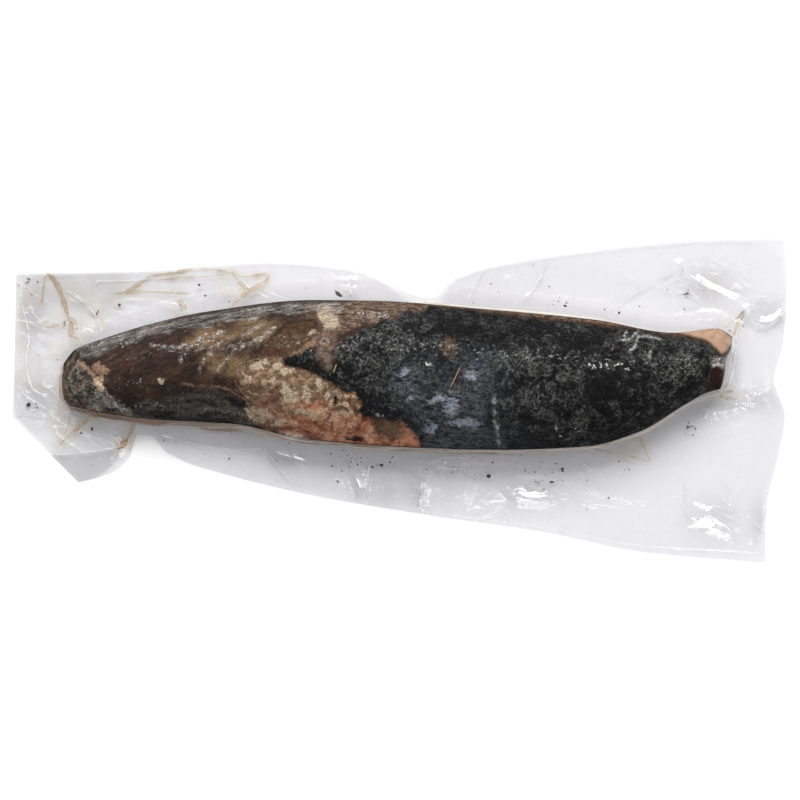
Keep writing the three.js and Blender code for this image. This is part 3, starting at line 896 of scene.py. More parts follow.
def stain(x, y):
    """How much juice tints the film, from 0 to 1: in blotches, and falling off from each line of juice."""
    tint = np.zeros_like(x)
    patchy = uneven(x, y, *STAIN_WANDER)
    for blotch in STAIN_BLOTCHES:
        tint = np.maximum(tint, blotch[4] * patchy * bells(x, y, [blotch], on_table))
    for half_width, strength, line in JUICE_LINES:
        distance = line_distance(x, y, rounded(on_table(line)))
        beside = np.exp(-np.maximum(distance - half_width, 0) / STAIN_REACH)
        tint = np.maximum(tint, LINE_STAIN * strength * beside)
    return tint


def along_photo(stations):
    """A smooth curve over X, through stations at pixels along the photograph."""
    return smooth_through([(on_table((station[0], 0))[0], station[1]) for station in stations])


def edge_band(x, y, outside):
    """How strongly the band of juice and pale film, partly painted highlight, shows beside the loin's
    edges,
    from 0 to 1: full at the edge, and gone at the band's width, which wanders."""
    near_side = 2 * y < loin_near(x) + loin_far(x)
    width = np.where(near_side, along_photo(NEAR_BAND)(x), along_photo(FAR_BAND)(x))
    width = np.maximum(width * (1 + lumps(x, y, *BAND_WANDER)), LEAST_BAND)
    return smooth_step(outside, 0, 0.15) * (1 - smooth_step(outside / width, 0.5, 1.1))


def film_ripples(x, y, outside, crumpled, glossy):
    """Small waves of the margin: crests, pleats that run out from the loin, and a fine shiver. Crests and
    pleats are ridges of noise, 1 on a ridge and falling off beside it. Crests are higher where the film is
    crumpled, and all are lower where it is taut."""
    crests = 1 - 2 * np.abs(fractal(x / CREST_LENGTH, y, *CRESTS))
    leaning = x + PLEAT_SWAY * outside * np.sin(x / PLEAT_SWAY_CELL)
    pleats = 1 - 2 * np.abs(fractal(leaning, outside / PLEAT_LENGTH, *PLEATS))
    ripples = CREST_HEIGHT * crests + PLEAT_HEIGHT * pleats * smooth_step(outside, *PLEATS_START)
    ripples = ripples + lumps(x / SHIVER_LENGTH, y, *SHIVER)
    ripples = np.maximum(ripples + CRUMPLE_HEIGHT * crumpled * crests, DEEPEST_RIPPLE)
    return ripples * (1 - TAUTNESS * glossy)


def film_height(x, y, outside, out, crumpled, glossy):
    """Height of the upper film: the settled height, less part of the loin's relief, with creases and
    ripples where it is free of the loin, which fade out at the rim."""
    depth = relief(x, y, depths_on_loin(x, y)) * (1 - smooth_step(outside, *FOLLOW_ENDS))
    folded = creases(x, y) + film_ripples(x, y, outside, crumpled, glossy)
    lifted = smooth_step(outside, *FREE_STARTS) * folded * smooth_step(1 - out, 0, RIM_FADE)
    return np.maximum(settled_height(x, y) - FOLLOW * depth + lifted, LEAST_GAP)


def film_fields(x, y, outside, out, crumpled, glossy):
    """What the film's finish reads at each place: shares from 0 to 1, and the distance from the loin."""
    free = smooth_step(outside, *FREE_STARTS)
    return {
        "cling": 1 - smooth_step(outside, *CLING_ENDS),
        "loose": smooth_step(outside, *LOOSE_STARTS),
        "outside": outside,
        "stain": stain(x, y) * smooth_step(outside, *STAIN_STARTS),
        "edge_band": edge_band(x, y, outside),
        "edge_brown": along_photo(BAND_BROWN)(x) * np.where(y < loin_far(x), 1, FAR_BROWN),
        "whitened": bells(x, y, WHITENED, on_table),
        "crumpled": crumpled * free,
        "glossy": glossy * free,
        "dull_and_shade": dullness_and_shade(x, y),
        "rim": out,
    }


def film_points():
    """The pouch as one closed film: the upper film's points, the lower film's, which are fewer and lie
    inside the rim that the two share, and the fields of both."""
    x, y = film_plan()
    outside, out = against(x, y)[1:]
    glossy = bells(x, y, GLOSSY, on_table)
    crumpled = bells(x, y, CRUMPLED, on_table) * (1 - TAUTNESS * glossy)
    upper = film_height(x, y, outside, out, crumpled, glossy)
    fields = film_fields(x, y, outside, out, crumpled, glossy)
    step = slice(UNDER_STRIDE, -UNDER_STRIDE, UNDER_STRIDE)
    under_x, under_y = x[step, step], y[step, step]
    lower = np.clip(lower_height(under_x, under_y), 0, upper[step, step] - LEAST_GAP)
    top = np.stack([x, y, upper], -1)
    bottom = np.stack([under_x, under_y, lower], -1)
    both = {
        name: np.concatenate([field.ravel(), field[step, step].ravel()]) for name, field in fields.items()
    }
    return top, bottom, both


def film_faces(top_shape, bottom_shape):
    """The upper film's faces, the lower film's, turned over, on the rim's own points at its border, and
    between the two a thin face along each of the lower film's rim edges."""
    index = np.arange(top_shape[0] * top_shape[1]).reshape(top_shape[:2])
    coarse = index[::UNDER_STRIDE, ::UNDER_STRIDE].copy()
    inner = np.arange(bottom_shape[0] * bottom_shape[1]).reshape(bottom_shape[:2])
    coarse[1:-1, 1:-1] = index.size + inner
    rim = np.concatenate([index[:-1, 0], index[-1, :-1], index[:0:-1, -1], index[0, :0:-1]])
    slivers = np.stack([np.roll(rim, -k)[::UNDER_STRIDE] for k in range(UNDER_STRIDE, -1, -1)], -1)
    return quads(index).tolist() + quads(coarse)[:, ::-1].tolist() + slivers.tolist()


def make_film():
    """The upper and the lower film joined at the rim."""
    top, bottom, fields = film_points()
    faces = film_faces(top.shape, bottom.shape)
    points = np.concatenate([top.reshape(-1, 3), bottom.reshape(-1, 3)])
    return add_piece("film", points, faces, film_finish(), fields)


# Folds, juice, char and straw

STRAND_SIDES = 8
LINE_STEPS = 10  # parts in each span of a line
LINE_TAPER = 0.7  # bluntness of its ends: the power of their half circle
LINE_WANDER = (0.8, 0.6, 4.0, 900, 2, 0.25, 1.8)  # unevenness of its width, as for creases
JUICE_THICKNESS = 0.1  # half the height of a line of juice
FOLD_HEIGHT = 0.22  # half the height of a pinched fold
FOLD_LIFT = 0.08  # its middle over the film


def strand(path, wide, high, level):
    """An ellipse carried along a path seen from above, with its half width, half height and middle's height
    at each step; also how far to the side of the path each point is, from -1 to 1."""
    run = np.gradient(path, axis=0)
    run = run / np.hypot(*run.T)[:, None]
    turn = np.arange(STRAND_SIDES) * 2 * np.pi / STRAND_SIDES
    sideways = wide[:, None] * np.cos(turn)
    x = path[:, 0, None] - run[:, 1, None] * sideways
    y = path[:, 1, None] + run[:, 0, None] * sideways
    z = level[:, None] + high[:, None] * np.sin(turn)
    return np.stack([x, y, np.maximum(z, 0)], -1), np.broadcast_to(np.cos(turn), x.shape)


def tapered_line(line, half_width):
    """A rounded line on the table, its uneven half width, and a taper that is 1 along it and 0 at its
    ends."""
    path = rounded(on_table(line), steps=LINE_STEPS)
    share = np.linspace(0, 1, len(path))
    taper = np.sqrt(np.clip(4 * share * (1 - share), 0, 1)) ** LINE_TAPER
    return path, half_width * taper * uneven(path[:, 0], path[:, 1], *LINE_WANDER), taper


def join_strands(strands):
    """The points and faces of some strands as one mesh."""
    faces = []
    count = 0
    for points in strands:
        index = count + np.arange(points[..., 0].size).reshape(points.shape[:2])
        faces += quads(np.concatenate([index, index[:, :1]], 1))[:, ::-1].tolist()
        count += index.size
    return np.concatenate([points.reshape(-1, 3) for points in strands]), faces


def make_lines(name, lines, half_height, level, finish):
    """A piece of tapered strands at a level over the table, with fields of their strength and of how far to
    the side of its line each point is."""
    strands = []
    sides = []
    strengths = []
    for half_width, strength, line in lines:
        path, wide, taper = tapered_line(line, half_width)
        points, side = strand(path, wide, half_height * taper, level(path[:, 0], path[:, 1]))
        strands.append(points)
        sides.append(side.ravel())
        strengths.append(np.full(side.size, strength))
    points, faces = join_strands(strands)
    fields = {"side": np.concatenate(sides), "strength": np.concatenate(strengths)}
    add_piece(name, points, faces, finish, fields)


def make_juice():
    """The lines of brown juice and of dried juice, between the films."""
    brown = juice_finish("meat_juice", JUICE_PALE, JUICE_BROWN)
    make_lines("juice", JUICE_LINES, JUICE_THICKNESS, between_films, brown)
    dried = juice_finish("dried_juice", DRIED_PALE, DRIED_DARK)
    make_lines("dried_juice", DRIED_LINES, JUICE_THICKNESS, between_films, dried)


def make_folds():
    """The pinched folds, a little above the settled film."""

    def level(x, y):
        return settled_height(x, y) + FOLD_LIFT

    make_lines("film_folds", FOLDS, FOLD_HEIGHT, level, fold_finish())


SPECK_SEED = 21
SPECK_COUNT = 110  # small specks thrown over the margin
SPECK_DRAWS = 4 * SPECK_COUNT  # places drawn for them, of which the first are taken
SPECK_ENDS = (-170, 165)  # where they lie along the pouch
SPECK_NEAR_SHARE = 0.62  # share of them on the near side
SPECK_LEAST_REACH = 2  # their least distance from the loin, and the mean of what is over it
SPECK_REACH = 11
SPECK_LOIN_GAP = 1  # room left for every small speck at the loin's edge and at the rim
SPECK_RIM_GAP = 2
SPECK_LEAST_SIZE = 0.2  # half length of the smallest, and what the largest has more
SPECK_SIZE_RANGE = 0.3
SPECK_RAGGEDNESS = 0.35
# Clusters of small specks: how many, and their middle and half sizes in pixels
SPECK_CLUSTERS = [
    (22, 350, 458, 30, 8), (10, 384, 462, 12, 6), (16, 455, 470, 30, 8), (26, 545, 474, 26, 14),
    (8, 480, 476, 14, 4), (10, 690, 428, 10, 10), (8, 30, 285, 14, 12), (10, 700, 285, 26, 12),
    (8, 560, 300, 16, 8), (10, 60, 330, 20, 16),
]
SPECK_THICKNESS = 0.12  # the most that half the height of a speck can be
SPECK_RINGS = 5
SPECK_SIDES = 7
# The larger specks: half length and half width in millimetres, direction in degrees, and place in pixels
LARGE_SPECKS = [
    (0.9, 0.6, 30, (119, 304)), (1.4, 0.25, 65, (97, 312)), (0.7, 0.5, 0, (199, 284)),
    (0.6, 0.45, 0, (205, 295)), (1.9, 0.9, -30, (338, 293)), (1.2, 0.9, 20, (28, 404)),
    (0.9, 0.7, 70, (92, 428)), (1.5, 0.35, 10, (686, 293)), (0.9, 0.5, -20, (564, 305)),
    (0.6, 0.6, 0, (618, 312)), (1.1, 0.8, 0, (488, 475)), (1.2, 0.5, 0, (381, 464)),
    (1.1, 0.5, -5, (551, 481)), (0.8, 0.5, 0, (372, 466)), (0.7, 0.5, 0, (332, 465)),
    (0.6, 0.6, 0, (562, 468)), (0.6, 0.6, 0, (687, 426)), (0.5, 0.5, 0, (562, 470)),
    (0.5, 0.5, 0, (608, 497)), (0.6, 0.4, 0, (81, 432)),
]


def speck_places():
    """Half lengths, half widths, turns and places of the specks: the larger ones as listed, and small ones
    thrown over the margin, more of them on the near side and near the loin, and in clusters."""
    random = np.random.default_rng(SPECK_SEED)
    large = np.array([(a, b, np.radians(turn), *on_table(place)) for a, b, turn, place in LARGE_SPECKS])
    x = random.uniform(*SPECK_ENDS, SPECK_DRAWS)
    reach = random.exponential(SPECK_REACH, x.size) + SPECK_LEAST_REACH
    near = random.uniform(0, 1, x.size) < SPECK_NEAR_SHARE
    y = np.where(near, loin_near(x) - reach, loin_far(x) + reach)
    thrown = np.stack([x, y], -1)[:SPECK_COUNT]
    clusters = [
        random.normal(on_table((px, py)), (sx * PIXEL / 2, sy * PIXEL / 2), (count, 2))
        for count, px, py, sx, sy in SPECK_CLUSTERS
    ]
    x, y = np.concatenate([thrown, *clusters]).T
    beside = (y < loin_near(x) - SPECK_LOIN_GAP) | (y > loin_far(x) + SPECK_LOIN_GAP)
    fits = beside & (y > pouch_near(x) + SPECK_RIM_GAP) & (y < pouch_far(x) - SPECK_RIM_GAP)
    x, y = x[fits], y[fits]
    length = SPECK_LEAST_SIZE + SPECK_SIZE_RANGE * random.uniform(0, 1, x.size) ** 2
    width = length * random.uniform(0.5, 1, x.size)
    turn = random.uniform(0, np.pi, x.size)
    return np.concatenate([large, np.stack([length, width, turn, x, y], -1)])


def make_specks():
    """Flakes of char between the films: a flattened ball each, with its points moved in and out at
    random."""
    random = np.random.default_rng(SPECK_SEED + 1)
    length, width, turn, x, y = (column[:, None, None] for column in speck_places().T)
    polar = np.linspace(0, np.pi, SPECK_RINGS)[None, :, None]
    around = (np.arange(SPECK_SIDES) * 2 * np.pi / SPECK_SIDES)[None, None, :]
    ragged = 1 + SPECK_RAGGEDNESS * random.uniform(-1, 1, (len(length), SPECK_RINGS, SPECK_SIDES))
    along = length * np.sin(polar) * np.cos(around) * ragged
    across = width * np.sin(polar) * np.sin(around) * ragged
    px = x + along * np.cos(turn) - across * np.sin(turn)
    py = y + along * np.sin(turn) + across * np.cos(turn)
    level = between_films(x[:, 0, 0], y[:, 0, 0])[:, None, None]
    pz = np.maximum(level + np.minimum(width, SPECK_THICKNESS) * np.cos(polar) + 0 * px, 0)
    points = np.stack([px, py, pz], -1)
    index = np.arange(points[..., 0].size).reshape(points.shape[:3])
    looped = np.concatenate([index, index[:, :, :1]], 2)
    faces = np.concatenate([quads(grid) for grid in looped])
    finish = grained_finish("char", CHAR_DARK, CHAR_BROWN, 0.5, 0.7)
    add_piece("char_specks", points.reshape(-1, 3), faces.tolist(), finish)


# Bits of straw: radius in millimetres, and both ends in pixels
STRAWS = [
    (0.27, (449.4, 387), (459.5, 366)), (0.3, (333.5, 372), (336.5, 363)),
    (0.16, (610, 350), (613, 346)),
]
STRAW_STEPS = 12
STRAW_TURN = 65  # degrees from X, along which their grain runs


def make_straws():
    """Bits of straw: each a thin tube pressed on the skin, along a straight line in plan, with closed
    ends."""
    share = np.linspace(0, 1, STRAW_STEPS + 1)
    taper = np.minimum(1, np.minimum(share, 1 - share) * 2 * STRAW_STEPS)
    straws = []
    for radius, start, end in STRAWS:
        path = blend(*on_loin([start, end])[:, None], share[:, None])
        level = upper_height(path[:, 0], path[:, 1]) - LOIN_CLEARANCE
        straws.append(strand(path, radius * taper, radius * taper, level)[0])
    points, faces = join_strands(straws)
    finish = grained_finish("straw", STRAW_DARK, STRAW_PALE, 0.4, 0.55, STRAW_TURN)
    add_piece("straw_bits", points, faces, finish)


# Finishes

def colour(red, green, blue):
    """A colour as seen on a screen, from 0 to 255, turned into the light it stands for."""
    screen = np.array((red, green, blue)) / 255
    light = np.where(screen <= 0.04045, screen / 12.92, ((screen + 0.055) / 1.055) ** 2.4)
    return (*light, 1.0)


class Wire:
    """A socket in a finish. Sums, products and powers of wires and numbers add Math nodes."""

    def __init__(self, finish, socket):
        self.finish = finish
        self.socket = socket

    def maths(self, operation, *values):
        return self.finish.node("ShaderNodeMath", {"operation": operation}, dict(enumerate(values)))

    def __add__(self, other):
        return self.maths("ADD", self, other)

    def __sub__(self, other):
        return self.maths("SUBTRACT", self, other)

    def __rsub__(self, other):
        return self.maths("SUBTRACT", other, self)

    def __mul__(self, other):
        return self.maths("MULTIPLY", self, other)

    def __pow__(self, other):
        return self.maths("POWER", self, other)

    def __abs__(self):
        return self.maths("ABSOLUTE", self)

    __radd__ = __add__
    __rmul__ = __mul__


class Finish:
    """A material, and the ways that its nodes are added."""

    def __init__(self, name):
        self.material = bpy.data.materials.new(name)
        self.material.use_nodes = True
        self.tree = self.material.node_tree
        self.tree.nodes.clear()
        self.fray = 0.0

    def node(self, kind, settings=None, inputs=None, output=0):
        """Adds a node of a kind: its settings are set first, then the values or links of its sockets."""
        node = self.tree.nodes.new(kind)
        for name, value in (settings or {}).items():
            setattr(node, name, value)
        for name, value in (inputs or {}).items():
            if isinstance(value, Wire):
                self.tree.links.new(value.socket, node.inputs[name])
            else:
                node.inputs[name].default_value = value
        return Wire(self, node.outputs[output])

    def show(self, shader):
        """Puts a shader on the surface, and gives the material."""
        output = self.tree.nodes.new("ShaderNodeOutputMaterial")
        self.tree.links.new(shader.socket, output.inputs["Surface"])
        return self.material

    def place(self, stretch=(1, 1, 1), turn=0.0):
        """Object coordinates in millimetres, turned about Z by degrees and then stretched by shares."""
        metres = self.node("ShaderNodeTexCoord", None, None, "Object")
        values = {"Vector": metres, "Rotation": (0, 0, np.radians(turn))}
        turned = self.node("ShaderNodeMapping", {"vector_type": "POINT"}, values)
        scale = tuple(share / MM for share in stretch)
        return self.node("ShaderNodeVectorMath", {"operation": "MULTIPLY"}, {0: turned, 1: scale})

    def grain(self, place, cell, detail=3.0, rough=0.55, twist=0.0):
        """Fractal noise from 0 to 1, with grains about cell millimetres wide, twisted into swirls."""
        values = {"Vector": place, "Scale": 1 / cell, "Detail": detail}
        values.update({"Roughness": rough, "Distortion": twist})
        return self.node("ShaderNodeTexNoise", None, values)

    def ridges(self, place, cell, detail, rough, twist):
        """Ridges along the lines where noise passes its middle: 1 on a ridge, falling off beside it."""
        return 1 - abs(self.grain(place, cell, detail, rough, twist) * 2 - 1)

    def crumbs(self, cell, density):
        """Ragged specks about cell millimetres wide: few where the density is 0, over half at 1."""
        grains = self.grain(self.place(), cell, 4.0, 0.68)
        return self.between(grains + density * 0.24, 0.68, 0.76)

    def field(self, name):
        """A field of the piece's points, as a value."""
        return self.node("ShaderNodeAttribute", {"attribute_name": name}, None, "Fac")

    def between(self, value, low, high):
        """0 below low, 1 above high and a smooth step between."""
        settings = {"interpolation_type": "SMOOTHSTEP"}
        values = {"Value": value, "From Min": low, "From Max": high}
        return self.node("ShaderNodeMapRange", settings, values)

    def inside(self, name, soft=0.3, fray=1.0):
        """A mask from a depth field, in millimetres, with its edge frayed: 0 outside, 1 inside."""
        return self.between(self.field(name) + self.fray * fray, -soft, soft)

    def mix(self, share, first, second):
        """A colour between two colours."""
        settings = {"data_type": "RGBA", "clamp_factor": True}
        return self.node("ShaderNodeMix", settings, {0: share, 6: first, 7: second}, 2)

    def shade(self, tone, amount):
        """A colour made darker or lighter by a factor."""
        settings = {"data_type": "RGBA", "blend_type": "MULTIPLY"}
        return self.node("ShaderNodeMix", settings, {0: 1.0, 6: tone, 7: amount}, 2)

    def bump(self, height, distance, strength):
        """Normals of a surface raised by a height, up to a distance in millimetres."""
        values = {"Height": height, "Distance": distance * MM, "Strength": strength}
        return self.node("ShaderNodeBump", None, values, "Normal")

    def solid(self, values):
        """A shader for what isn't see-through."""
        return self.node("ShaderNodeBsdfPrincipled", None, values)

    def see_through(self, tint):
        """A shader that lets shares of the light through."""
        return self.node("ShaderNodeBsdfTransparent", None, {"Color": tint})

    def mirror(self, values):
        """A shader that mirrors."""
        return self.node("ShaderNodeBsdfAnisotropic", None, values)

    def mix_shader(self, share, first, second):
        """A shader between two shaders."""
        return self.node("ShaderNodeMixShader", None, {0: share, 1: first, 2: second})


BLACK_SKIN = colour(16, 16, 17)
GREY_SKIN = colour(47, 48, 46)
PALE_SKIN = colour(116, 117, 114)
# Pale of the skin's bright flecks, partly frost and partly painted glints
PALE_SPECK = colour(190, 190, 187)
# Blue grey and blue white of the skin's sheen, partly frost and partly painted sheen
FAINT_SHEEN_GREY = colour(92, 96, 104)
BLUE_SHEEN = colour(160, 164, 176)
DARK_FLESH = colour(38, 29, 25)
BROWN_FLESH = colour(82, 62, 51)
REDDISH_FLESH = colour(76, 47, 38)
SMEAR_GREY = colour(132, 120, 108)
GOLD_FLESH = colour(118, 95, 71)
UPPER_PALE = colour(138, 116, 98)
OLIVE_DARK = colour(58, 40, 29)
OLIVE_FLESH = colour(82, 62, 42)
BLUE_BLACK = colour(19, 19, 20)
BAND_GREY = colour(98, 91, 84)
STRIP_DARK = colour(50, 45, 42)
STRIP_PALE = colour(172, 164, 154)
# Silver of smears and flecks, the flecks partly painted glints
SILVER = colour(204, 199, 190)
CREAM = colour(208, 190, 164)
BEIGE = colour(133, 108, 87)
OLIVE_BEIGE = colour(94, 78, 60)
TAN = colour(142, 113, 90)
DARK_TAN = colour(76, 59, 48)
PINK_TAN = colour(152, 126, 110)
ORANGE_TAN = colour(114, 90, 72)
PALE_ORANGE = colour(202, 138, 104)
ORANGE_BROWN = colour(112, 62, 43)
RED_BROWN = colour(88, 46, 35)
ROSY_FLESH = colour(176, 126, 102)
FOLD_PALE = colour(224, 186, 152)
SEAM_TAN = colour(126, 101, 86)
BIT_ORANGE = colour(150, 120, 98)
LOBE_GREY = colour(70, 62, 52)
TAIL_DARK = colour(44, 39, 35)
TAIL_GREY = colour(138, 127, 114)
RIM_BROWN = colour(118, 88, 64)
LIP_SHADE = colour(156, 124, 104)
LIP_PINK = colour(186, 152, 128)
CUT_RED = colour(46, 27, 22)
END_DARK = colour(66, 54, 49)
# White of frost, also of the painted glints and the painted highlight along the film's crease
FROST_AND_GLINT_WHITE = colour(216, 215, 212)
UNDER_DARK = colour(60, 38, 30)
UNDER_FLESH = colour(96, 58, 44)
JUICE_PALE = colour(204, 174, 136)
JUICE_BROWN = colour(150, 100, 58)
DRIED_PALE = colour(206, 196, 166)
DRIED_DARK = colour(150, 134, 98)
FILM_HAZE = colour(226, 226, 229)
FILM_YELLOWED = colour(220, 210, 192)
FOLD_WHITE = colour(251, 251, 252)
# Pale of the band beside the loin's edges: a fold of the film, and painted highlight along the edge
PALE_FOLD_AND_GLINT = colour(222, 212, 194)
STRIPE_BROWN = colour(114, 78, 54)
FILM_JUICE = colour(160, 128, 96)
CHAR_DARK = colour(22, 20, 18)
CHAR_BROWN = colour(70, 52, 40)
STRAW_DARK = colour(112, 88, 54)
STRAW_PALE = colour(168, 142, 96)
TABLE_WHITE = colour(247, 247, 247)
# Shares of red, green and blue light that get through clear things
CLEAR_FILM = (0.919, 0.917, 0.924, 1)
# Film that lies double or is dull, and beside the loin's near side painted shadow
DULL_AND_SHADED_FILM = (0.83, 0.828, 0.832, 1)
CLEAR_FOLD = (0.98, 0.98, 0.98, 1)
CLEAR_JUICE = (0.97, 0.94, 0.89, 1)
# The loin's finish: how far the layers' edges are frayed in millimetres, how much it mirrors straight on,
# how far its lumps stand out and how strongly, and how strongly its grit shows
FRAY = 5
LOIN_SHINE = 0.03
LOIN_LUMPS = 0.9
LOIN_LUMP_STRENGTH = 0.8
GRIT = 0.8
# The film's finish: how much it mirrors at least, and what it mirrors more where it is loose, crumpled,
# taut, seen at a slant, or wet behind
LEAST_SHINE = 0.003
LOOSE_SHINE = 0.016
CRUMPLED_SHINE = 0.08
TAUT_SHINE = 0.12
SLANT_SHINE = 0.3
WET_SHINE = 0.035


def flesh_colour(f):
    """The browned flesh of the tail third: dark, reddish and golden, with grain slanting along the loin."""
    broad = f.grain(f.place(), 9.0, 4.0, 0.55, 0.3)
    slanting = f.grain(f.place((0.35, 1, 1), -30), 2.0, 6.0, 0.66, 0.3)
    golden = f.field("golden")
    warm = f.mix(f.between(golden * 0.8 + broad * 0.4, 0.3, 0.9), BROWN_FLESH, GOLD_FLESH)
    reddish = f.between(f.grain(f.place(), 6.0, 4.0, 0.6), 0.45, 0.7)
    warm = f.mix(reddish * (1 - golden) * 0.7, warm, REDDISH_FLESH)
    shade = f.between(broad * 0.4 + slanting * 0.5 + golden * 0.14, 0.33, 0.66)
    flesh = f.mix(shade, DARK_FLESH, warm)
    smears = f.grain(f.place((0.4, 1, 1), -55), 2.2, 7.0, 0.74, 0.3)
    return f.mix(f.between(smears, 0.56, 0.72) * 0.4, flesh, SMEAR_GREY)


def fibres(f, turn, stretch, dark, pale):
    """Short dark and pale fibres that run at an angle to the loin, longer for a smaller stretch."""
    strands = f.grain(f.place((stretch, 1, 1), turn), 1.5, 6.0, 0.7, 0.4)
    flecks = f.grain(f.place((0.5, 1, 1), turn), 0.9, 4.0, 0.7)
    return f.mix(f.between(strands * 0.65 + flecks * 0.35, 0.4, 0.62), dark, pale)


def patch_colour(f):
    """The peeled patch: beige curds above, orange brown folds below, with crumbly cream flakes, red brown
    creases and dark pits. It is darker beside the skin's raised edge: painted shade there, partly char."""
    broad = f.grain(f.place(), 6.0, 3.0, 0.5, 0.8)
    curd = f.grain(f.place(), 2.2, 5.0, 0.62, 0.2)
    fine = f.grain(f.place(), 0.9, 5.0, 0.72)
    fatty = f.field("fatty")
    upper = f.mix(f.between(broad * 0.5 + curd * 0.5, 0.4, 0.6), OLIVE_BEIGE, BEIGE)
    lower = f.mix(f.between(broad * 0.6 + curd * 0.4, 0.34, 0.62), ORANGE_BROWN, PALE_ORANGE)
    low = f.between(f.field("orange") + (broad - 0.5) * 12, -1.5, 3.5)
    base = f.mix(low, upper, lower)
    base = f.mix(f.field("rosy") * f.between(broad, 0.3, 0.6) * 0.8, base, ROSY_FLESH)
    folds = f.ridges(f.place((1, 1, 1), 40), 10.0, 3.0, 0.5, 1.0)
    base = f.mix(f.between(folds, 0.9, 1.0) * f.between(fine, 0.36, 0.6) * 0.6, base, FOLD_PALE)
    creased = f.ridges(f.place((0.7, 1, 1), -35), 9.0, 3.0, 0.5, 1.0)
    base = f.mix(f.between(creased, 0.9, 1.0) * 0.6, base, RED_BROWN)
    flakes = f.between(fatty * 0.42 + curd * 0.5 + fine * 0.5, 0.62, 0.84)
    pale = f.mix(low * 0.75, CREAM, FOLD_PALE)
    base = f.mix(flakes * 0.95, base, f.mix(f.between(fine, 0.38, 0.54), BEIGE, pale))
    base = f.mix(f.inside("vein", 0.7) * 0.75, base, RED_BROWN)
    base = f.mix(f.inside("pale_folds", 0.6) * f.between(fine, 0.36, 0.56) * 0.9, base, FOLD_PALE)
    base = f.mix(f.inside("lobe_shade", 2.8) * 0.8, base, LOBE_GREY)
    base = f.mix(f.crumbs(0.9, fatty * 0.5 + 0.12) * 0.85, base, DARK_FLESH)
    # Painted shade, partly char: darker beside the skin's raised edge
    return f.mix(f.between(f.field("skin"), -2.2, 0.0) * 0.4, base, DARK_FLESH)


def skin_colour(f):
    """Black charred skin: clouds of grey with paler threads, bright flecks that are partly frost and partly
    painted glints, and a feathery blue sheen that is partly frost and partly painted sheen."""
    smooth = f.field("smooth_black")
    speckled = f.field("speckled")
    netted = f.field("netted")
    clouds = f.grain(f.place(), 6.0, 6.0, 0.66, 0.4) + speckled * 0.06 + netted * 0.05 - smooth * 0.08
    fine = f.grain(f.place(), 1.3, 5.0, 0.7)
    grey = f.between(clouds, 0.46, 0.62) * f.between(fine, 0.38, 0.58)
    skin = f.mix(grey + f.between(fine, 0.5, 0.72) * 0.4, BLACK_SKIN, GREY_SKIN)
    ridge = f.ridges(f.place(), 5.0, 7.0, 0.7, 0.3)
    threads = f.between(ridge, 0.88, 0.99) * f.between(clouds, 0.47, 0.6) * f.between(fine, 0.4, 0.6)
    skin = f.mix(threads * 0.5, skin, PALE_SKIN)
    loops = f.ridges(f.place(), 8.0, 3.0, 0.55, 0.9)
    lace = f.between(loops, 0.93, 0.985) * f.between(fine, 0.38, 0.58) * (0.05 + 0.7 * netted)
    skin = f.mix(lace * 0.6, skin, PALE_SKIN)
    # Bright flecks: partly frost, partly painted glints of the wet film
    flecks = f.crumbs(1.1, grey * 0.2 + speckled * 0.35 + netted * 0.15 - smooth * 0.35 - 0.13)
    skin = f.mix(flecks * 0.65, skin, PALE_SPECK)
    feather = f.grain(f.place((0.5, 1, 1), 12), 1.5, 7.0, 0.76, 0.8)
    # Painted sheen, partly frost: faint over wide patches, strong in places
    hazy = f.field("faint_blue_sheen") * f.between(feather, 0.4, 0.62)
    skin = f.mix(hazy * 0.9, skin, FAINT_SHEEN_GREY)
    sheen = f.between(f.field("sheen") * 0.34 + feather * 0.8, 0.48, 0.82) * f.between(fine, 0.3, 0.52)
    skin = f.mix(sheen * 0.95, skin, BLUE_SHEEN)
    return f.mix(f.inside("skin_edge", 0.8) * 0.6, skin, BLACK_SKIN)


def tail_colour(f):
    """The cut face of the tail end: grey brown mottles with pale specks."""
    mottles = f.grain(f.place(), 2.6, 6.0, 0.72)
    face = f.mix(f.between(mottles, 0.42, 0.66), TAIL_DARK, TAIL_GREY)
    return f.mix(f.crumbs(0.9, 0.32) * 0.85, face, FROST_AND_GLINT_WHITE)


class LoinFinish(Finish):
    """The loin's finish, as a base colour with layers laid over it inside their ragged edges."""

    def __init__(self):
        super().__init__("seared_loin")
        self.fine = self.grain(self.place(), 0.9, 5.0, 0.68)
        self.soft = self.grain(self.place(), 3.0, 5.0, 0.62)
        self.fray = (self.grain(self.place(), 1.2, 5.0, 0.72) - 0.5) * FRAY
        self.base = flesh_colour(self)

    def tint(self, share, tone):
        """Turns the base towards a tone by a share."""
        self.base = self.mix(share, self.base, tone)

    def lay(self, name, edge, strength, tone, fray=1.0):
        """Lays a tone on the base inside a named edge, which is soft by edge millimetres to each side."""
        self.tint(self.inside(name, edge, fray) * strength, tone)

    def mottled(self, dark, pale):
        """Two tones in mottles."""
        return self.mix(self.between(self.fine * 0.5 + self.soft * 0.5, 0.38, 0.6), dark, pale)

    def finely(self, low, high, dark, pale):
        """Two tones in fine grains."""
        return self.mix(self.between(self.fine, low, high), dark, pale)

    def softly(self, low, high, dark, pale):
        """Two tones in soft clouds."""
        return self.mix(self.between(self.soft, low, high), dark, pale)


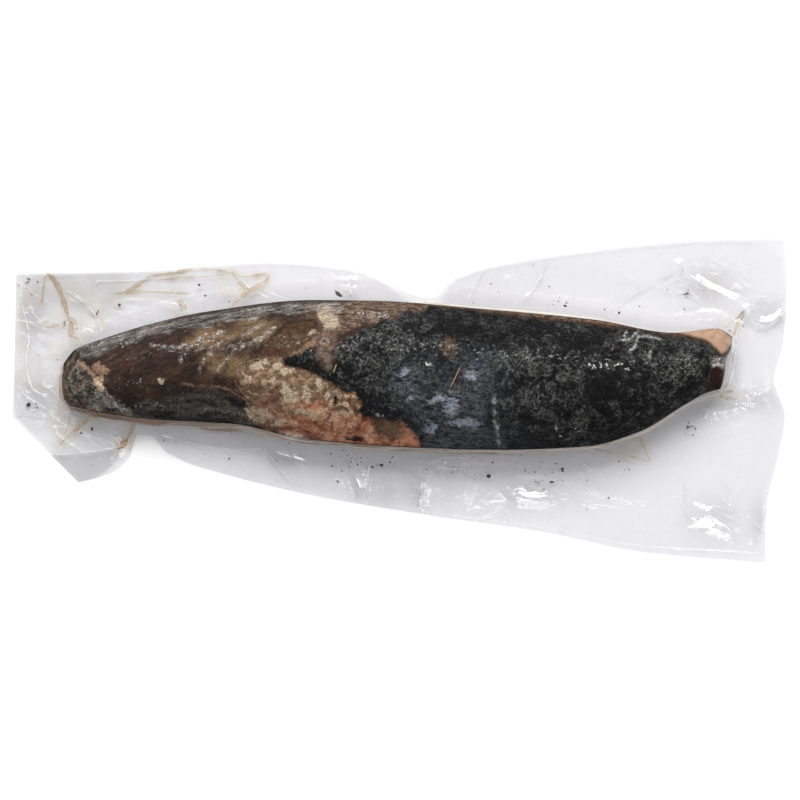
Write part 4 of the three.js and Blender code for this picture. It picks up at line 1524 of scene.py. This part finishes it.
def lay_flesh(f):
    """The tail third over its flesh: the olive leaf, pale fibres above, and dark bands at both edges."""
    leaf = f.softly(0.3, 0.62, OLIVE_DARK, OLIVE_FLESH)
    f.lay("olive", 0.6, 0.95, f.mix(f.field("leaf_red") * 0.7, leaf, REDDISH_FLESH))
    f.lay("leaf_edge", 0.4, 0.8, DARK_FLESH)
    f.lay("upper_flesh", 1.5, 0.9, fibres(f, 8, 0.4, DARK_FLESH, UPPER_PALE))
    f.lay("strip", 1.2, 0.9, fibres(f, -13, 0.16, STRIP_DARK, STRIP_PALE))
    f.lay("bluish", 1.5, 0.42, f.finely(0.5, 0.75, BLUE_BLACK, BAND_GREY))
    f.lay("far_rim", 0.6, 0.75, STRIP_DARK)
    broad = f.grain(f.place((0.5, 1, 1)), 8.0, 4.0, 0.55)
    cloudy = f.between(broad * 0.5 + f.soft * 0.3 + f.fine * 0.2, 0.42, 0.6)
    f.lay("band", 1.6, 0.95, f.mix(cloudy, BLUE_BLACK, BAND_GREY))
    f.lay("band_edge", 1.2, 0.75, BLACK_SKIN)


def lay_frost(f):
    """Silver smears on the raised arcs; silver flecks on them, on frosted places and on the upper flesh,
    partly frost and partly painted glints; and the tan seam.
    """
    arcs = f.inside("arcs", 1.3)
    f.tint(arcs * f.between(f.soft * 0.4 + f.fine * 0.6, 0.42, 0.6) * 0.65, SILVER)
    # Silver flecks: partly frost, partly painted glints
    density = 0.5 * arcs + 0.6 * f.inside("frost_and_glints", 2.2) + 0.2 * f.inside("upper_flesh", 2.0) - 0.04
    f.tint(f.crumbs(0.9, density) * 0.75, SILVER)
    f.lay("seam", 0.4, 0.65, SEAM_TAN)


def lay_tail(f):
    """The tail's cut face with its rim, dark gaps, frost and three loose bits of flesh."""
    f.lay("tail_cut", 0.5, 1.0, tail_colour(f))
    f.lay("tail_rim", 0.6, 0.8, f.mottled(DARK_TAN, RIM_BROWN))
    f.lay("gaps", 0.7, 0.9, TAIL_DARK)
    frosty = f.inside("frosty", 1.6)
    f.tint(frosty * f.between(f.fine, 0.36, 0.6) * 0.4, SILVER)
    f.tint(f.crumbs(0.8, frosty * 0.8 - 0.2) * 0.95, FROST_AND_GLINT_WHITE)
    f.lay("tan_strip", 0.5, 0.95, f.mottled(TAN, PINK_TAN))
    f.lay("orange_bit", 0.5, 0.95, f.mottled(ORANGE_TAN, BIT_ORANGE))
    f.lay("tan_bit", 0.5, 0.95, f.mottled(TAN, CREAM))


def lay_skin(f):
    """The peeled patch and the charred skin, with the pale places beside and on them."""
    f.lay("patch", 1.6, 1.0, patch_colour(f), 2.4)
    f.lay("cream", 1.0, 0.76, fibres(f, -4, 0.3, SMEAR_GREY, CREAM))
    f.lay("leaf_foot", 0.8, 0.9, f.mottled(DARK_TAN, TAN))
    f.lay("skin", 0.3, 1.0, skin_colour(f))
    f.lay("pink", 3.0, 0.6, f.softly(0.34, 0.6, DARK_TAN, PINK_TAN))
    f.lay("chips", 0.5, 1.0, f.mottled(ORANGE_TAN, CREAM))
    f.lay("oval", 1.8, 0.4, f.mottled(DARK_TAN, TAN))


def lay_head(f):
    """The head end: the line of flesh above the skin, the frosted end, the pale lip and the red cut."""
    f.lay("flesh_line", 0.6, 0.85, f.mottled(DARK_FLESH, TAN))
    f.lay("frosted_end", 0.9, 0.8, f.finely(0.45, 0.62, END_DARK, FROST_AND_GLINT_WHITE))
    lip = f.softly(0.3, 0.6, LIP_SHADE, LIP_PINK)
    f.lay("lip", 0.4, 1.0, f.mix(f.between(f.field("lip"), 0.0, 1.6), DARK_TAN, lip))
    f.lay("lip_edge", 0.4, 0.85, DARK_FLESH)
    f.lay("cut", 0.6, 1.0, CUT_RED)


def lay_marks(f):
    """Small marks over all the rest: frost, blackened spots, and two painted highlights: a pale line along
    a crease of the film and small glints.
    """
    f.tint(f.inside("soft_crease", 1.1) * f.between(f.soft, 0.36, 0.6) * 0.5, FROST_AND_GLINT_WHITE)
    f.lay("frost", 0.8, 0.5, FROST_AND_GLINT_WHITE)
    f.lay("glints", 0.3, 1.0, FROST_AND_GLINT_WHITE)
    f.lay("blackened", 0.5, 1.0, BLACK_SKIN)


def loin_finish():
    """The loin's layers in order, its plain underside, and grit all over, less on the patch and the lip."""
    f = LoinFinish()
    for lay_part in (lay_flesh, lay_frost, lay_tail, lay_skin, lay_head, lay_marks):
        lay_part(f)
    f.tint(f.field("under"), fibres(f, 0, 0.2, UNDER_DARK, UNDER_FLESH))
    grit = f.grain(f.place(), 0.8, 4.0, 0.72)
    gritty = 1 - 0.45 * f.inside("patch", 1.6) - 0.9 * f.inside("lip", 0.6)
    lumpy = f.grain(f.place(), 2.4, 5.0, 0.7)
    return f.show(f.solid({
        "Base Color": f.shade(f.base, 1 + (f.between(grit, 0.3, 0.68) - 0.5) * gritty * GRIT),
        "Roughness": 0.42 + 0.25 * f.fine,
        "Specular IOR Level": LOIN_SHINE,
        "Normal": f.bump(lumpy + grit * 0.4, LOIN_LUMPS, LOIN_LUMP_STRENGTH),
    }))


def film_shine(f, cling):
    """How much the film mirrors. It doesn't at the very rim, and where it clings it is wet behind, so there
    it mirrors only in places."""
    slant = f.node("ShaderNodeLayerWeight", None, {"Blend": 0.5}, "Facing")
    wet = f.between(f.grain(f.place((0.7, 1, 1), -10), 1.6, 5.0, 0.7), 0.52, 0.66)
    rim = f.between(f.field("rim"), 0.995, 0.96)
    shine = LEAST_SHINE + LOOSE_SHINE * f.field("loose") + CRUMPLED_SHINE * f.field("crumpled")
    shine = shine + TAUT_SHINE * f.field("glossy") + SLANT_SHINE * slant**4
    return shine * rim * (1 - cling) + WET_SHINE * wet * cling


def film_normal(f, cling):
    """The film's fine unevenness: ridges where it is free, less where it is taut, and ripples where it
    clings."""
    crumple = f.ridges(f.place((0.7, 1, 1), 20), 9.0, 3.0, 0.5, 0.6)
    clinging = f.grain(f.place((0.5, 1, 1), -12), 1.4, 4.0, 0.7) * cling
    uneven_film = crumple * (1 - cling) + f.grain(f.place(), 2.2, 3.0, 0.6) * 0.2
    return f.bump(uneven_film * (1 - 0.85 * f.field("glossy")) + clinging * 0.5, 1.2, 0.2)


def film_wrinkles(f, cling):
    """Fine wrinkles of the free film, in patches and where it is crumpled."""
    wrinkle = f.ridges(f.place((0.5, 1, 1), 28), 7.0, 4.0, 0.55, 0.5)
    patchy = f.between(f.grain(f.place(), 22.0, 3.0, 0.5), 0.45, 0.7)
    return f.between(wrinkle, 0.95, 1.0) * (0.1 * patchy + 0.22 * f.field("crumpled")) * (1 - cling)


def edge_streaks(f):
    """Streaks along the loin's edge: noise over the distance from it, drawn out along X."""
    along = f.node("ShaderNodeSeparateXYZ", None, {0: f.place()}, "X")
    beside = f.node("ShaderNodeCombineXYZ", None, {"X": along * 0.05, "Y": f.field("outside")})
    return f.grain(beside, 0.9, 4.0, 0.6)


def film_finish():
    """Clear film: it lets most light through and mirrors some, and less through where it is dull, which
    beside the loin's near side is painted shadow. It is hazy where juice stains it, along fine wrinkles,
    where it is dusty or whitened, and in the streaky band along the loin's edges, whose pale part is partly
    a painted highlight."""
    f = Finish("clear_film")
    cling = f.field("cling")
    tint = f.field("stain")
    wrinkled = film_wrinkles(f, cling)
    dusty = f.between(f.grain(f.place(), 5.0, 6.0, 0.7), 0.5, 0.75) * 0.03 * (1 - cling)
    streaks = edge_streaks(f)
    brown = f.between(streaks + f.field("edge_brown") * 0.3, 0.52, 0.78)
    band = f.field("edge_band") * (0.35 + 0.55 * f.between(streaks, 0.4, 0.62))
    tone = f.mix(f.between(tint, 0.02, 0.2), FILM_HAZE, FILM_YELLOWED)
    tone = f.mix(f.between(tint, 0.3, 0.9), tone, FILM_JUICE)
    tone = f.mix(f.between(wrinkled, 0.0, 0.05), tone, FOLD_WHITE)
    # The band's pale part is partly painted highlight along the loin's edge
    tone = f.mix(f.between(band, 0.05, 0.3), tone, f.mix(brown, PALE_FOLD_AND_GLINT, STRIPE_BROWN))
    cloudy = (0.012 + 0.26 * tint + 0.18 * tint**2) * (1 - 0.9 * cling) + 0.35 * f.field("whitened")
    cloudy = cloudy + wrinkled + dusty + band
    normal = film_normal(f, cling)
    # Duller film lets less light through: where it lies double, in dull places, and beside the loin's near
    # side as painted shadow
    clear = f.mix_shader(f.field("dull_and_shade"), f.see_through(CLEAR_FILM), f.see_through(DULL_AND_SHADED_FILM))
    hazy = f.solid({"Base Color": tone, "Roughness": 0.5, "Normal": normal})
    mirror = f.mirror({"Roughness": 0.05 + 0.15 * cling, "Normal": normal})
    return f.show(f.mix_shader(film_shine(f, cling), f.mix_shader(cloudy, clear, hazy), mirror))


def juice_finish(name, pale, dark):
    """Juice in a thin layer, fresh or dried: it tints what is behind it, unevenly and more at its edges."""
    f = Finish(name)
    strength = f.field("strength")
    grain = f.grain(f.place(), 4.0, 3.0)
    edge = f.between(abs(f.field("side")), 0.5, 0.95)
    body = f.solid({"Base Color": f.mix(edge * 0.7 + grain * 0.3, pale, dark), "Roughness": 0.2})
    share = f.between(grain, 0.25, 0.6) * (0.06 + 0.2 * strength + edge * (0.06 + 0.45 * strength**2))
    return f.show(f.mix_shader(share, f.see_through(CLEAR_JUICE), body))


def fold_finish():
    """A pinched fold of the film: white in some places and clear in others, with a gloss."""
    f = Finish("film_fold")
    grain = f.grain(f.place(), 6.0, 3.0)
    middle = f.between(abs(f.field("side")), 1.0, 0.1)
    share = f.between(grain, 0.3, 0.62) * middle * f.field("strength")
    body = f.solid({"Base Color": FOLD_WHITE, "Roughness": 0.4})
    whitened = f.mix_shader(share * 0.6, f.see_through(CLEAR_FOLD), body)
    return f.show(f.mix_shader(share * 0.1, whitened, f.mirror({"Roughness": 0.12})))


def grained_finish(name, dark, pale, cell, roughness, turn=0.0):
    """A dry finish of two tones, with fine grain turned about Z by degrees."""
    f = Finish(name)
    grain = f.grain(f.place((1, 1, 1), turn), cell, 2.0)
    return f.show(f.solid({"Base Color": f.mix(grain, dark, pale), "Roughness": roughness}))


def floor_finish():
    """A plain white table."""
    f = Finish("white_table")
    return f.show(f.solid({"Base Color": TABLE_WHITE, "Roughness": 0.6}))


# Table, light and camera

FLOOR_SIDE = 4000.0
FLOOR_DROP = 0.4  # the table lies this far under the lower film
SENSOR = 36.0
# Softboxes: place, width, length and power
SOFTBOXES = {
    "far_softbox": ((0, 1650, 1600), 2200, 900, 70),
    "left_softbox": ((-1500, 200, 900), 700, 1200, 8.5),
    "right_softbox": ((1500, 150, 950), 700, 1200, 8.5),
    "near_softbox": ((0, -1600, 1300), 900, 200, 3.4),
    "top_softbox": ((160, -520, 1300), 300, 300, 2.2),
}
WORLD_LIGHT = 0.17
CAMERA_REACH = 10000.0  # the furthest that the camera sees


def make_floor():
    """A square of table under the pouch."""
    half = FLOOR_SIDE / 2 * MM
    drop = -FLOOR_DROP * MM
    mesh = bpy.data.meshes.new("table")
    corners = [(-half, -half, drop), (half, -half, drop), (half, half, drop), (-half, half, drop)]
    mesh.from_pydata(corners, [], [(0, 1, 2, 3)])
    mesh.materials.append(floor_finish())
    floor = bpy.data.objects.new("table", mesh)
    bpy.context.scene.collection.objects.link(floor)


def add_softbox(name, place, width, length, power):
    """A rectangular lamp that looks at the origin."""
    light = bpy.data.lights.new(name, "AREA")
    light.shape = "RECTANGLE"
    light.size = width * MM
    light.size_y = length * MM
    light.energy = power
    lamp = bpy.data.objects.new(name, light)
    lamp.location = Vector(place) * MM
    lamp.rotation_euler = (-lamp.location).to_track_quat("-Z", "Y").to_euler()
    bpy.context.scene.collection.objects.link(lamp)


def make_light():
    """The softboxes, and even light from all round."""
    for name, (place, width, length, power) in SOFTBOXES.items():
        add_softbox(name, place, width, length, power)
    world = bpy.data.worlds.new("studio")
    world.use_nodes = True
    background = world.node_tree.nodes["Background"]
    background.inputs["Color"].default_value = (1, 1, 1, 1)
    background.inputs["Strength"].default_value = WORLD_LIGHT
    bpy.context.scene.world = world
    bpy.context.scene.view_settings.view_transform = "Standard"


def make_camera():
    """A camera straight above the pouch's middle, whose frame holds the photograph's width of table."""
    camera = bpy.data.cameras.new("camera")
    camera.sensor_width = SENSOR
    camera.lens = SENSOR * CAMERA_HEIGHT / (PIXELS * PIXEL)
    camera.clip_end = CAMERA_REACH * MM
    eye = bpy.data.objects.new("camera", camera)
    eye.location = (0, 0, CAMERA_HEIGHT * MM)
    bpy.context.scene.collection.objects.link(eye)
    bpy.context.scene.camera = eye


make_camera()
make_light()
make_floor()
make_loin()
film = make_film()
make_folds()
make_juice()
make_specks()
make_straws()
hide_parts("pouch")
